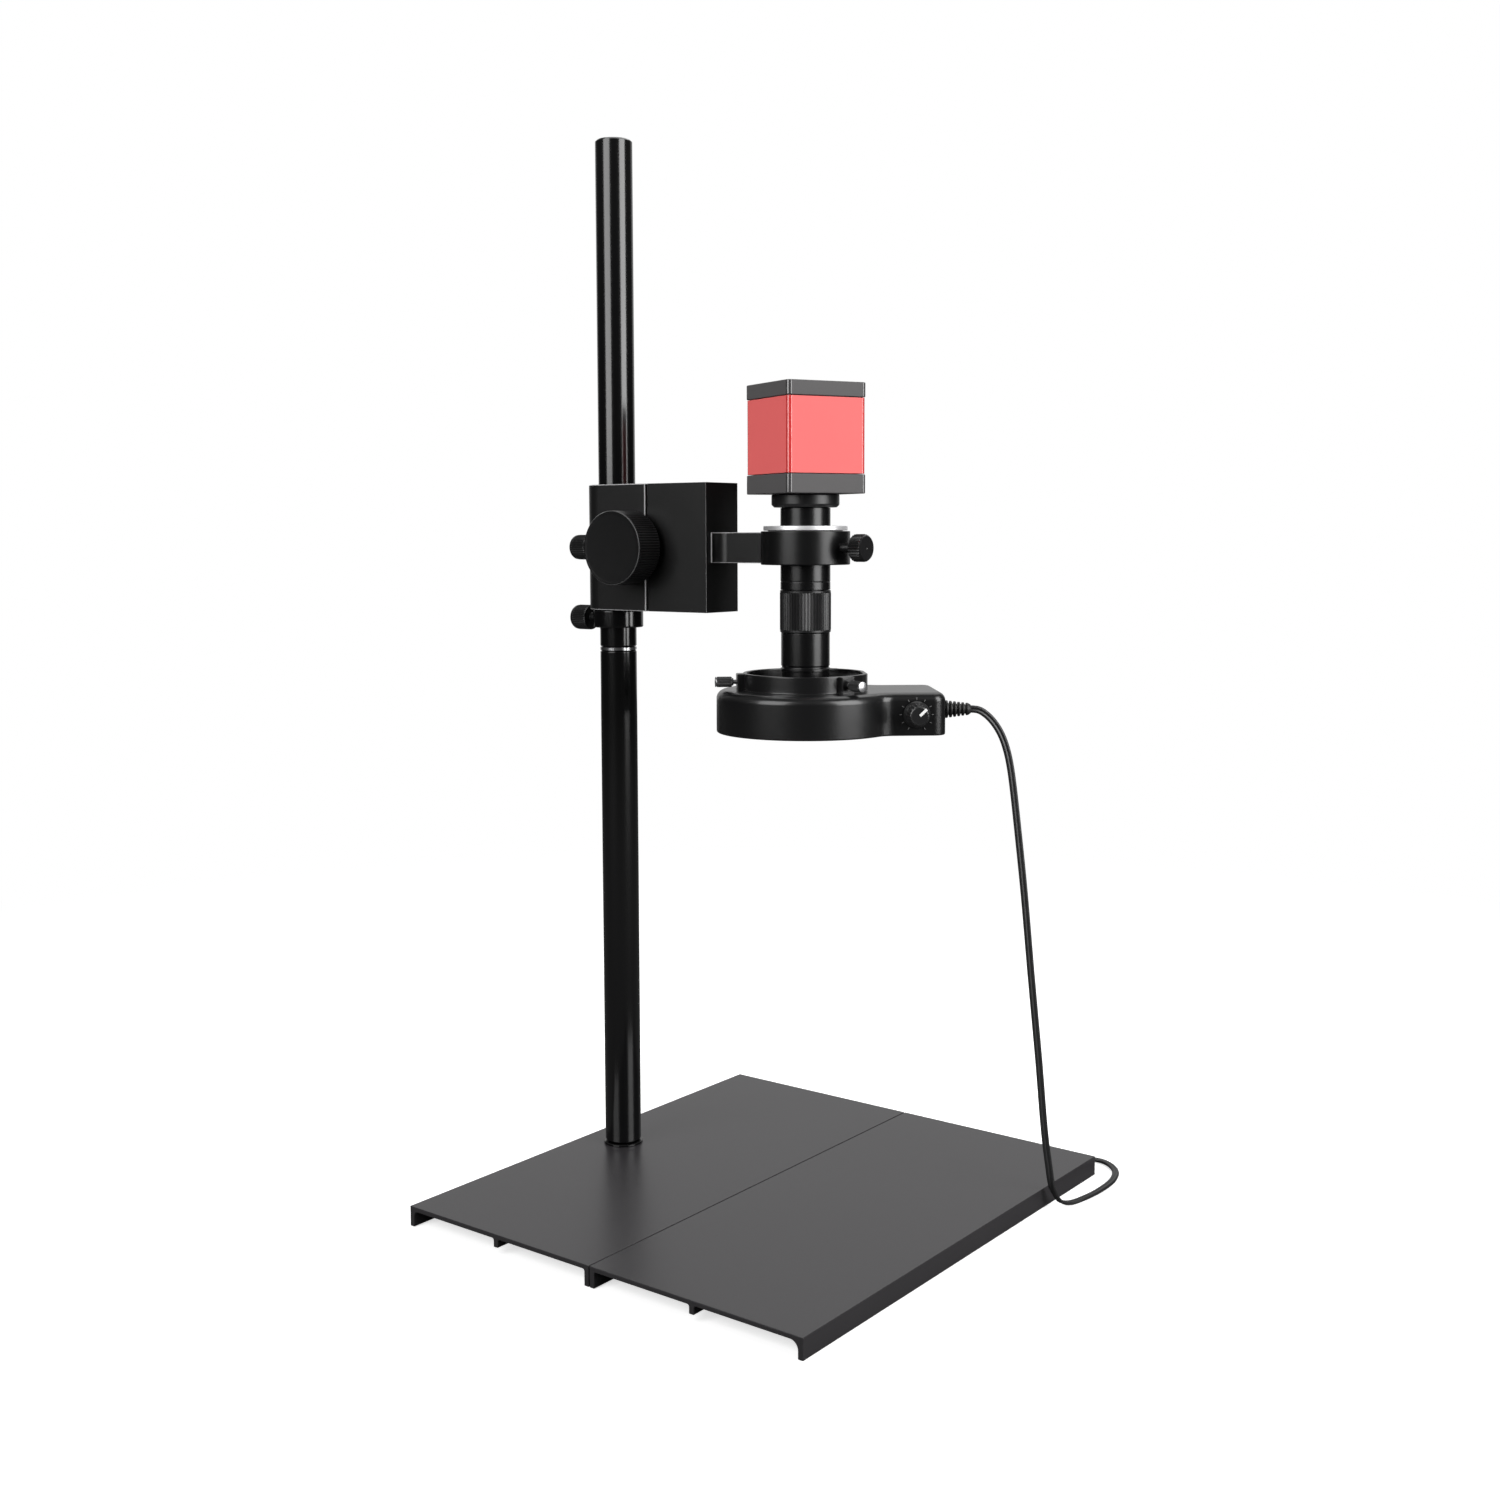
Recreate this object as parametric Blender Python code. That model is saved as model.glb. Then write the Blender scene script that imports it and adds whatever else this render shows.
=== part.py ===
"""A video microscope on a tall post stand.

Two wide aluminium extrusions make the base. A post of two screwed rods carries a stop collar
and a rack-and-pinion focus block. The block's carriage holds a ring arm, the ring arm holds a
zoom lens with a square camera head on top, and a ring light is held round the lens's nose.

Metres, +Z up, +Y towards the post side. The origin is on the surface that the base stands on,
in the middle of the stand's whole outline.
"""

import math

import bmesh
import bpy
from mathutils import Matrix, Vector

# Fits
SEAT_GAP = 0.0003  # between two pieces that touch
SLIDE_GAP = 0.0003  # round a piece that slides or turns in another

# Base extrusions
BASE_LENGTH = 0.290
BASE_DEPTH = 0.260
BASE_HEIGHT = 0.011
PLATE_THICKNESS = 0.0025
FLANGE_THICKNESS = 0.003
SEAM_FILLET = 0.0012
BACK_FILLET = 0.003
FRONT_FILLET = 0.0045
PLATE_EDGE = 0.0005
CENTRE_RIB_WIDTH = 0.003
CENTRE_RIB_HEIGHT = 0.0045
CENTRE_RIB_FILLET = 0.0012
SEAM_SCREW_RADIUS = 0.002
SEAM_SCREW_PLACE = 0.095

# Post
POST_RADIUS = 0.0105
POST_HEIGHT = 0.580  # from the top of the base to the top of the post
POST_INSET = 0.0246  # post axis to the base's back edge
ROD_JOINT_HEIGHT = 0.2931
ROD_CHAMFER = 0.0010
COUPLER_SHOULDER = 0.0010
COUPLER_STUD_RADIUS = 0.004
COUPLER_STUD_LENGTH = 0.016
FOOT_SCREW_RADIUS = 0.005
FOOT_SCREW_DEPTH = 0.020
FOOT_WASHER_THICKNESS = 0.0012
FOOT_WASHER_RADIUS = 0.0114
FOOT_HEAD_ACROSS = 0.016
FOOT_HEAD_HEIGHT = 0.0075
FOOT_FLANGE_THICKNESS = 0.0014

# Stop collar and the clamp knobs
COLLAR_LEVEL = 0.3059  # underside of the collar above the base's top
COLLAR_HEIGHT = 0.010
COLLAR_RADIUS = 0.01445
COLLAR_EDGE = 0.0008
KNOB_RADIUS = 0.0072
KNOB_LENGTH = 0.0125
KNOB_SHANK_RADIUS = 0.0025
KNOB_REACH = 0.0200  # post axis to the knob's near face
KNURL_DEPTH = 0.00035
KNOB_TEETH = 14

# Focus block
BLOCK_HEIGHT = 0.071
CLAMP_HALF_WIDTH = 0.016
CLAMP_FRONT = 0.0347  # post axis to the face that the carriage slides along
BLOCK_EDGE = 0.0006
DOVETAIL_NECK = 0.0055
DOVETAIL_HEAD = 0.0090
DOVETAIL_DEPTH = 0.0080
RACK_SLOT_HALF_WIDTH = 0.00325
CARRIAGE_HALF_WIDTH = 0.014
CARRIAGE_FRONT = 0.0766
CARRIAGE_EDGE = 0.0008
GIB_THICKNESS = 0.0012
GIB_SCREW_RADIUS = 0.0015
GIB_SCREW_SPACING = 0.024

# Rack and pinion
GEAR_MODULE = 0.001
PINION_TEETH = 12
PINION_WIDTH = 0.005
RACK_TEETH = 19
RACK_END = 0.0045
PRESSURE_ANGLE = math.radians(20)
BACKLASH = 0.00032
SHAFT_RADIUS = 0.003
BUSH_RADIUS = 0.005
BUSH_LENGTH = 0.008
BUSH_CLEARANCE = 0.00015
FOCUS_KNOB_RADIUS = 0.0205
FOCUS_KNOB_LENGTH = 0.0192
FOCUS_KNOB_TEETH = 25

# Ring arm
ARM_REACH = 0.1329  # post axis to lens axis
ARM_RING_RADIUS = 0.0237
ARM_RING_BORE = 0.0200
ARM_RING_HEIGHT = 0.0177
ARM_BAR_HALF_WIDTH = 0.0045
ARM_BAR_HEIGHT = 0.0166
ARM_ROOT_HALF_WIDTH = 0.0106
ARM_ROOT_LAND = 0.0009
ARM_TENON_HALF_WIDTH = 0.0058
ARM_TENON_LENGTH = 0.0100
ARM_SCREW_RADIUS = 0.002
LOCK_KNOB_NEAR = 0.0290  # lens axis to the lock knob's near face

# Lens
ADAPTER_FLANGE_RADIUS = 0.0223
ADAPTER_FLANGE_THICKNESS = 0.0024
ADAPTER_SLEEVE_LENGTH = 0.012
BARREL_RADIUS = 0.01325
BARREL_BORE = 0.0102
BARREL_TOP = 0.3727
NECK_RADIUS = 0.0117
ZOOM_RING_RADIUS = 0.0136
ZOOM_RING_TOP = 0.3294
ZOOM_RING_BOTTOM = 0.3071
ZOOM_RING_TEETH = 25
LOWER_BARREL_RADIUS = 0.01297
LENS_BOTTOM = 0.2762
NOSE_RADIUS = 0.0125  # the plain end that the ring light is clamped to
NOSE_LENGTH = 0.0103
NOSE_FLANGE_RADIUS = 0.0133
NOSE_FLANGE_HEIGHT = 0.0016
NOSE_BORE = 0.0088
MOUNT_THREAD_RADIUS = 0.0125
MOUNT_THREAD_LENGTH = 0.0038
ZOOM_CELL_LENGTH = 0.012
ZOOM_CELL_WALL = 0.0012

# Camera head
HEAD_WIDTH = 0.047
MOUNT_RING_RADIUS = 0.0180
MOUNT_RING_HEIGHT = 0.0067
MOUNT_RING_CHAMFER = 0.0014
HEAD_BOTTOM = BARREL_TOP + SEAT_GAP + MOUNT_RING_HEIGHT + SEAT_GAP
BOTTOM_CAP_HEIGHT = 0.0100
SHELL_HEIGHT = 0.0392
TOP_CAP_HEIGHT = 0.0077
HEAD_CORNER = 0.0022
HEAD_EDGE = 0.0006
SHELL_WALL = 0.0022
SHELL_INSET = 0.0003
HEAD_TURN = math.radians(-25)
BOARD_THICKNESS = 0.0016
HEAD_SCREW_OFFSET = 0.0188
SCREW_SINK = 0.0014
SINK_RADIUS = 0.0026
# Each port of the head: the middle and the size of its socket, in the head's own X and Y
PORTS = {
    "hdmi_socket": ((0.0, -0.0110), (0.0150, 0.0056)),
    "usb_socket": ((-0.0080, 0.0105), (0.0080, 0.0034)),
}
JACK_PLACE = (0.0095, 0.0100)

# Ring light
LIGHT_BOTTOM = 0.2540
LIGHT_HEIGHT = 0.0225
LIGHT_RADIUS = 0.0475
LIGHT_SHOULDER = 0.0045
LIGHT_WALL = 0.0022
LIGHT_OPENING = 0.0314
LIGHT_COLLAR_RADIUS = 0.0335
LIGHT_COLLAR_HEIGHT = 0.0090
CONTROL_BOX_REACH = 0.0720
CONTROL_BOX_HALF_WIDTH = 0.0270
CONTROL_BOX_CORNER = 0.0070
CONTROL_BOX_BLEND = 0.0120
LIGHT_TURN = math.radians(-50)
THUMB_ANGLE = math.radians(-57)  # first thumb screw, from the control box's axis
THUMB_GRIP_RADIUS = 0.0028
THUMB_GRIP_LENGTH = 0.0080
THUMB_SHANK_RADIUS = 0.0012
THUMB_GRIP_NEAR = 0.0395
BOSS_HALF_WIDTH = 0.0042
BOSS_DEPTH = 0.0034
BOSS_HEIGHT = 0.0088
LED_BOARD_LEVEL = 0.0050
LED_HALF_WIDTH = 0.0018
LED_ROWS = ((0.0368, 16), (0.0423, 20))
DIAL_ALONG = 0.0560
DIAL_RADIUS = 0.0057
DIAL_SKIRT_RADIUS = 0.0070
DIAL_LENGTH = 0.0105
DIAL_TEETH = 14
DIAL_TURN = math.radians(45)
STRAIN_RELIEF_LENGTH = 0.0155
STRAIN_RELIEF_RIBS = 6

# Light cord, a flat twin lead
CORD_DIAMETER = 0.0040
COIL_OUTER = 0.0275
COIL_INNER = 0.0145
COIL_HEIGHT = 0.0078
COIL_FLOOR = 0.0004
COIL_PLACE = (0.1110, -0.1010)
PLUG_LENGTH = 0.0240
PLUG_WIDTH = 0.0140
PLUG_HEIGHT = 0.0070
PLUG_SHELL_LENGTH = 0.0120
PLUG_NECK_LENGTH = 0.0130
PLUG_NECK_RADIUS = 0.0028
PLUG_ACROSS = 0.0150

# Derived places
POST_FROM_CENTRE = BASE_DEPTH / 2 - POST_INSET
BACK_OVERHANG = POST_FROM_CENTRE + KNOB_REACH + KNOB_LENGTH - BASE_DEPTH / 2
BASE_Y = -BACK_OVERHANG / 2
POST_Y = BASE_Y + POST_FROM_CENTRE
LENS_Y = POST_Y - ARM_REACH
SEAM_HALF_GAP = SEAT_GAP / 2
COLLAR_Z = BASE_HEIGHT + COLLAR_LEVEL
BLOCK_Z = COLLAR_Z + COLLAR_HEIGHT + SEAT_GAP
AXIS_Z = BLOCK_Z + BLOCK_HEIGHT / 2
PINION_PITCH_RADIUS = GEAR_MODULE * PINION_TEETH / 2
PINION_TIP_RADIUS = PINION_PITCH_RADIUS + GEAR_MODULE
PINION_ROOT_RADIUS = PINION_PITCH_RADIUS - 1.25 * GEAR_MODULE
PINION_Y = -CLAMP_FRONT + PINION_TIP_RADIUS + SEAT_GAP
RACK_PITCH_Y = PINION_Y - PINION_PITCH_RADIUS
SLOT_FLOOR_Y = -CLAMP_FRONT - DOVETAIL_DEPTH - SLIDE_GAP
LIGHT_Z = BASE_HEIGHT + LIGHT_BOTTOM
CONTROL_LEVEL = LIGHT_HEIGHT / 2
THUMB_LEVEL = LIGHT_HEIGHT + BOSS_HEIGHT / 2
SHELL_OUTER = HEAD_WIDTH / 2 - SHELL_INSET
COIL_SIDE = math.sqrt(COIL_OUTER**2 - (PLUG_ACROSS - PLUG_NECK_RADIUS) ** 2)
PLUG_X = COIL_PLACE[0] - COIL_SIDE - SEAT_GAP - PLUG_NECK_LENGTH - PLUG_LENGTH / 2
PLUG_PLACE = (PLUG_X, COIL_PLACE[1] + PLUG_ACROSS)


# Shared modelling steps
def clear_scene():
    for existing in list(bpy.data.objects):
        bpy.data.objects.remove(existing, do_unlink=True)


def make_material(name, colour, roughness, metallic):
    material = bpy.data.materials.new(name)
    material.use_nodes = True
    shader = material.node_tree.nodes["Principled BSDF"]
    shader.inputs["Base Color"].default_value = (*colour, 1.0)
    shader.inputs["Roughness"].default_value = roughness
    shader.inputs["Metallic"].default_value = metallic
    return material


def finish(name, bm, material, smooth_below=35):
    """Turn a bmesh into a named object with outward faces, smooth where the form is round."""
    bmesh.ops.recalc_face_normals(bm, faces=bm.faces)
    mesh = bpy.data.meshes.new(name)
    bm.to_mesh(mesh)
    bm.free()
    mesh.shade_smooth()
    mesh.set_sharp_from_angle(angle=math.radians(smooth_below))
    mesh.materials.append(material)
    made = bpy.data.objects.new(name, mesh)
    bpy.context.collection.objects.link(made)
    return made


def arc(centre, radius, start, end, steps):
    """Points along an arc from one angle to another, in degrees, both ends included."""
    turns = [math.radians(start + (end - start) * k / steps) for k in range(steps + 1)]
    return [(centre[0] + radius * math.cos(t), centre[1] + radius * math.sin(t)) for t in turns]


def circle(radius, count, height=0.0, phase=0.0):
    steps = [phase + math.tau * k / count for k in range(count)]
    return [Vector((radius * math.cos(t), radius * math.sin(t), height)) for t in steps]


def star(radius, depth, teeth, height):
    """A ring of fine V teeth, for a knurled rim."""
    radii = [radius - depth * (k % 2) for k in range(2 * teeth)]
    steps = [math.tau * k / (2 * teeth) for k in range(2 * teeth)]
    return [Vector((r * math.cos(t), r * math.sin(t), height)) for r, t in zip(radii, steps)]


def hexagon(across, count, height):
    """A hexagon by its width across flats, cut into as many points as the circle beside it."""
    ring = circle(across / 2, count, height)
    for k, point in enumerate(ring):
        turn = math.radians(360 * k / count % 60 - 30)
        point.xy = point.xy / math.cos(turn)
    return ring


def rounded_rectangle(width, depth, corner, steps=3):
    x, y = width / 2 - corner, depth / 2 - corner
    centres = ((x, y, 0), (-x, y, 90), (-x, -y, 180), (x, -y, 270))
    points = []
    for cx, cy, start in centres:
        points += arc((cx, cy), corner, start, start + 90, steps)
    return points


def inset(outline, distance):
    """The outline moved inwards by a distance, for a chamfered rim. The outline runs anticlockwise."""
    moved = []
    for k, point in enumerate(outline):
        here = Vector(point)
        before = (here - Vector(outline[k - 1])).normalized()
        after = (Vector(outline[(k + 1) % len(outline)]) - here).normalized()
        bisector = Vector((-before.y - after.y, before.x + after.x))
        bisector /= bisector.length_squared / 2
        moved.append(tuple(here + bisector * distance))
    return moved


def at_height(outline, height):
    return [Vector((x, y, height)) for x, y in outline]


def add_loft(bm, rings, closed=False):
    """Skin a row of rings. The ends are capped, or joined to each other when closed is set."""
    made = [[bm.verts.new(p) for p in ring] for ring in rings]
    count = len(made[0])
    pairs = list(zip(made, made[1:]))
    if closed:
        pairs.append((made[-1], made[0]))
    for low, high in pairs:
        for k in range(count):
            bm.faces.new((low[k], low[(k + 1) % count], high[(k + 1) % count], high[k]))
    if not closed:
        bm.faces.new(made[0])
        bm.faces.new(made[-1])


def loft(name, rings, material, closed=False):
    bm = bmesh.new()
    add_loft(bm, rings, closed)
    return finish(name, bm, material)


def add_turned(bm, outline, segments):
    """Spin a (radius, height) outline round Z. One that starts and ends on the axis is a solid."""
    solid = outline[0][0] == 0 and outline[-1][0] == 0
    corners = [bm.verts.new((r, 0, z)) for r, z in outline]
    pairs = list(zip(corners, corners[1:]))
    if not solid:
        pairs.append((corners[-1], corners[0]))
    edges = [bm.edges.new(pair) for pair in pairs]
    bmesh.ops.spin(
        bm, geom=corners + edges, cent=(0, 0, 0), axis=(0, 0, 1), angle=math.tau, steps=segments
    )
    bmesh.ops.remove_doubles(bm, verts=bm.verts, dist=0.000002)


def turned(name, outline, material, segments=48):
    bm = bmesh.new()
    add_turned(bm, outline, segments)
    return finish(name, bm, material)


def prism(name, outline, low, high, material, chamfer=0.0):
    """An outline in X and Y stood up from one height to another, with chamfered rims."""
    rings = [at_height(outline, low), at_height(outline, high)]
    if chamfer:
        rim = inset(outline, chamfer)
        rings = [
            at_height(rim, low),
            at_height(outline, low + chamfer),
            at_height(outline, high - chamfer),
            at_height(rim, high),
        ]
    return loft(name, rings, material)


def add_rod(bm, start, end, radius, sides=16):
    """A plain round bar between two points."""
    start, end = Vector(start), Vector(end)
    turn = (end - start).to_track_quat("Z", "Y").to_matrix()
    rings = []
    for place in (start, end):
        rings.append([place + turn @ p for p in circle(radius, sides, 0.0, math.pi / sides)])
    add_loft(bm, rings)


def add_block(bm, low, high):
    (x0, y0, z0), (x1, y1, z1) = low, high
    corners = ((x0, y0), (x1, y0), (x1, y1), (x0, y1))
    add_loft(bm, [at_height(corners, z0), at_height(corners, z1)])


def tool_object(name, bm):
    """A body that only cuts or joins, kept out of sight."""
    bmesh.ops.recalc_face_normals(bm, faces=bm.faces)
    mesh = bpy.data.meshes.new(name)
    bm.to_mesh(mesh)
    bm.free()
    made = bpy.data.objects.new(name, mesh)
    bpy.context.collection.objects.link(made)
    made.hide_render = True
    made.display_type = "WIRE"
    return made


def apply_tool(target, tool, operation):
    """Cut a tool out of a piece, or join it to the piece. The tool is made in the piece's frame."""
    step = target.modifiers.new(tool.name, "BOOLEAN")
    step.operation = operation
    step.solver = "EXACT"
    step.object = tool
    tool.parent = target


def drill(target, rods=(), blocks=()):
    """Cut round holes, each (start, end, radius), and square pockets, each (low, high)."""
    bm = bmesh.new()
    for start, end, radius in rods:
        add_rod(bm, start, end, radius, 14 if radius < 0.004 else 32)
    for low, high in blocks:
        add_block(bm, low, high)
    apply_tool(target, tool_object(target.name + "_cut", bm), "DIFFERENCE")


def make_axis(name, location, turn=0.0, parent=None):
    """An empty on a moving piece's axis."""
    axis = bpy.data.objects.new(name, None)
    bpy.context.collection.objects.link(axis)
    axis.location = location
    axis.rotation_euler = (0, 0, turn)
    axis.parent = parent
    return axis


def hang_on(axis, *pieces):
    for piece in pieces:
        piece.parent = axis


# Materials
def make_palette():
    return {
        "base": make_material("base_black", (0.045, 0.045, 0.046), 0.55, 0.3),
        "black": make_material("black_anodised", (0.020, 0.020, 0.021), 0.35, 0.5),
        "gloss": make_material("gloss_black", (0.012, 0.012, 0.013), 0.15, 0.4),
        "steel": make_material("bright_steel", (0.60, 0.60, 0.61), 0.25, 1.0),
        "brass": make_material("brass", (0.66, 0.50, 0.25), 0.35, 1.0),
        "silver": make_material("turned_aluminium", (0.80, 0.80, 0.81), 0.28, 1.0),
        "red": make_material("red_anodised", (0.72, 0.09, 0.09), 0.38, 0.3),
        "grey": make_material("dark_grey", (0.085, 0.085, 0.088), 0.45, 0.3),
        "glass": make_material("coated_glass", (0.35, 0.42, 0.50), 0.05, 0.0),
        "board": make_material("board_green", (0.02, 0.12, 0.06), 0.5, 0.0),
        "plastic": make_material("black_plastic", (0.022, 0.022, 0.024), 0.42, 0.0),
        "white": make_material("white_board", (0.80, 0.80, 0.78), 0.5, 0.0),
        "rubber": make_material("black_rubber", (0.018, 0.018, 0.018), 0.65, 0.0),
    }


# Base
def base_outline(side, outer_fillet):
    """Half of the base in section, as (Y, Z): side is 1 for the rear half and -1 for the front."""
    wide = BASE_DEPTH / 2
    under = BASE_HEIGHT - PLATE_THICKNESS
    near = SEAM_HALF_GAP + FLANGE_THICKNESS
    far = wide - FLANGE_THICKNESS
    middle = wide / 2
    rib = CENTRE_RIB_WIDTH / 2
    points = [(SEAM_HALF_GAP, 0), (near, 0)]
    seam = (near + SEAM_FILLET, under - SEAM_FILLET)
    points += arc(seam, SEAM_FILLET, 180, 90, 3)
    fillet = CENTRE_RIB_FILLET
    points += arc((middle - rib - fillet, under - fillet), fillet, 90, 0, 2)
    points += [(middle - rib, under - CENTRE_RIB_HEIGHT), (middle + rib, under - CENTRE_RIB_HEIGHT)]
    points += arc((middle + rib + fillet, under - fillet), fillet, 180, 90, 2)
    corner = (far - outer_fillet, under - outer_fillet)
    points += arc(corner, outer_fillet, 90, 0, 5)
    points += [
        (far, 0),
        (wide, 0),
        (wide, BASE_HEIGHT - PLATE_EDGE),
        (wide - PLATE_EDGE, BASE_HEIGHT),
        (SEAM_HALF_GAP + PLATE_EDGE, BASE_HEIGHT),
        (SEAM_HALF_GAP, BASE_HEIGHT - PLATE_EDGE),
    ]
    return [(BASE_Y + side * y, z) for y, z in points]


def seam_screw_places():
    return (-SEAM_SCREW_PLACE, SEAM_SCREW_PLACE)


def make_base(palette):
    half = BASE_LENGTH / 2
    level = (BASE_HEIGHT - PLATE_THICKNESS) / 2
    grip = SEAM_HALF_GAP + FLANGE_THICKNESS
    hole = SEAM_SCREW_RADIUS + SEAT_GAP
    plates = {}
    for name, side, fillet in (("base_rear", 1, BACK_FILLET), ("base_front", -1, FRONT_FILLET)):
        section = base_outline(side, fillet)
        rings = [[Vector((x, y, z)) for y, z in section] for x in (-half, half)]
        plates[name] = loft(name, rings, palette["base"])
    through = [
        ((x, BASE_Y - 2 * grip, level), (x, BASE_Y + 2 * grip, level), hole)
        for x in seam_screw_places()
    ]
    foot = ((0, POST_Y, 0), (0, POST_Y, 2 * BASE_HEIGHT), FOOT_SCREW_RADIUS + SEAT_GAP)
    drill(plates["base_front"], through)
    drill(plates["base_rear"], through + [foot])

    head, long = 0.0022, 0.0090
    outline = [
        (0, -head),
        (0.0028, -head),
        (0.0035, -head * 0.4),
        (0.0035, 0),
        (SEAM_SCREW_RADIUS, 0),
        (SEAM_SCREW_RADIUS, long),
        (0, long),
    ]
    for side, x in zip(("left", "right"), seam_screw_places()):
        screw = turned(f"seam_screw_{side}", outline, palette["steel"], 10)
        aim(screw, (x, BASE_Y - grip - SEAT_GAP, level), (0, 1, 0))


def merge_at(bm, piece, place, direction):
    """Move a small body, made along Z at the origin, to its place and add it to a tool."""
    turn = Vector(direction).to_track_quat("Z", "Y").to_matrix().to_4x4()
    piece.transform(Matrix.Translation(place) @ turn)
    scratch = bpy.data.meshes.new("scratch")
    piece.to_mesh(scratch)
    piece.free()
    bm.from_mesh(scratch)
    bpy.data.meshes.remove(scratch)


def add_turned_at(bm, outline, segments, place, direction):
    piece = bmesh.new()
    add_turned(piece, outline, segments)
    merge_at(bm, piece, place, direction)


# Post
def bored_rod(name, length, low_bore, high_bore, material):
    """A rod with chamfered ends and a blind bore, (radius, depth), in each end that has one."""
    edge = ROD_CHAMFER
    outline = [(POST_RADIUS - edge, 0), (POST_RADIUS, edge)]
    outline += [(POST_RADIUS, length - edge), (POST_RADIUS - edge, length)]
    if high_bore:
        radius, depth = high_bore
        outline += [(radius, length), (radius, length - depth), (0, length - depth)]
    else:
        outline.append((0, length))
    if low_bore:
        radius, depth = low_bore
        start = [(0, depth), (radius, depth), (radius, 0)]
    else:
        start = [(0, 0)]
    return turned(name, start + outline, material, 24)


def make_post(palette):
    under = BASE_HEIGHT - PLATE_THICKNESS
    washer_z = BASE_HEIGHT + SEAT_GAP
    rod_z = washer_z + FOOT_WASHER_THICKNESS + SEAT_GAP
    joint_z = BASE_HEIGHT + ROD_JOINT_HEIGHT
    upper_z = joint_z + COUPLER_SHOULDER + SEAT_GAP
    top_z = BASE_HEIGHT + POST_HEIGHT
    stud_bore = (COUPLER_STUD_RADIUS + SEAT_GAP, COUPLER_STUD_LENGTH + 0.002)
    foot_bore = (FOOT_SCREW_RADIUS + SEAT_GAP, FOOT_SCREW_DEPTH + 0.002)
    length = joint_z - SEAT_GAP - rod_z
    lower = bored_rod("lower_rod", length, foot_bore, stud_bore, palette["gloss"])
    lower.location = (0, POST_Y, rod_z)
    upper = bored_rod("upper_rod", top_z - upper_z, stud_bore, None, palette["gloss"])
    upper.location = (0, POST_Y, upper_z)

    stud, shoulder = COUPLER_STUD_RADIUS, POST_RADIUS - 0.0002
    outline = [
        (0, -COUPLER_STUD_LENGTH),
        (stud, -COUPLER_STUD_LENGTH),
        (stud, 0),
        (shoulder, 0),
        (shoulder, COUPLER_SHOULDER),
        (stud, COUPLER_SHOULDER),
        (stud, COUPLER_SHOULDER + COUPLER_STUD_LENGTH),
        (0, COUPLER_SHOULDER + COUPLER_STUD_LENGTH),
    ]
    coupler = turned("rod_coupler", outline, palette["steel"], 20)
    coupler.location = (0, POST_Y, joint_z)

    hole = FOOT_SCREW_RADIUS + SEAT_GAP
    thick = FOOT_WASHER_THICKNESS
    ring = [(hole, 0), (FOOT_WASHER_RADIUS, 0), (FOOT_WASHER_RADIUS, thick), (hole, thick)]
    washer = turned("foot_washer", ring, palette["gloss"], 24)
    washer.location = (0, POST_Y, washer_z)
    head_top = under - SEAT_GAP
    tip = rod_z + FOOT_SCREW_DEPTH - head_top
    flange = -FOOT_FLANGE_THICKNESS
    rings = [
        hexagon(FOOT_HEAD_ACROSS - 0.0012, 12, -FOOT_HEAD_HEIGHT),
        hexagon(FOOT_HEAD_ACROSS, 12, -FOOT_HEAD_HEIGHT + 0.0006),
        hexagon(FOOT_HEAD_ACROSS, 12, flange),
        circle(FOOT_WASHER_RADIUS, 12, flange),
        circle(FOOT_WASHER_RADIUS, 12, 0),
        circle(FOOT_SCREW_RADIUS, 12, 0),
        circle(FOOT_SCREW_RADIUS, 12, tip),
    ]
    screw = loft("foot_screw", rings, palette["steel"])
    screw.location = (0, POST_Y, head_top)


# Knurled knobs
def knob_rings(radius, length, teeth, shank_radius, shank_length, dish=0.0):
    """Rings of a knurled knob along +Z with its face at the far end and its shank at the near end."""
    edge = 0.0006
    rim = radius - KNURL_DEPTH
    count = 2 * teeth
    rings = [
        circle(shank_radius, count, -shank_length),
        circle(shank_radius, count, 0),
        circle(rim - edge, count, 0),
        star(radius, KNURL_DEPTH, teeth, edge),
        star(radius, KNURL_DEPTH, teeth, length - edge),
        circle(rim - edge, count, length),
    ]
    if dish:
        rings.append(circle(shank_radius, count, length))
        rings.append(circle(shank_radius * 0.6, count, length - dish))
    return rings


def aim(piece, place, direction):
    """Set a piece that was made along +Z at its place, along a direction."""
    piece.location = place
    piece.rotation_euler = Vector(direction).to_track_quat("Z", "Y").to_euler()


# Stop collar
def make_collar(palette):
    edge = COLLAR_EDGE
    bore = POST_RADIUS + SLIDE_GAP
    high = COLLAR_HEIGHT
    outline = [
        (bore, edge / 2),
        (bore + edge / 2, 0),
        (COLLAR_RADIUS - edge, 0),
        (COLLAR_RADIUS, edge),
        (COLLAR_RADIUS, high - edge),
        (COLLAR_RADIUS - edge, high),
        (bore + edge / 2, high),
        (bore, high - edge / 2),
    ]
    collar = turned("stop_collar", outline, palette["black"], 28)
    collar.location = (0, POST_Y, COLLAR_Z)
    hole = KNOB_SHANK_RADIUS + SEAT_GAP
    drill(collar, [((0, POST_RADIUS - 0.002, high / 2), (0, 2 * COLLAR_RADIUS, high / 2), hole)])
    shank = KNOB_REACH - POST_RADIUS - SEAT_GAP
    rings = knob_rings(KNOB_RADIUS, KNOB_LENGTH, KNOB_TEETH, KNOB_SHANK_RADIUS, shank)
    knob = loft("collar_knob", rings, palette["black"])
    aim(knob, (0, POST_Y + KNOB_REACH, COLLAR_Z + high / 2), (0, 1, 0))


# Focus block
def flank_x(y, away):
    """X of a line beside the dovetail's flank, at a clear distance from it. Y is from the post axis."""
    slope = (DOVETAIL_HEAD - DOVETAIL_NECK) / DOVETAIL_DEPTH
    across = math.sqrt(1 + slope * slope)
    return DOVETAIL_NECK + slope * (-CLAMP_FRONT - y) + away * across


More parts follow.
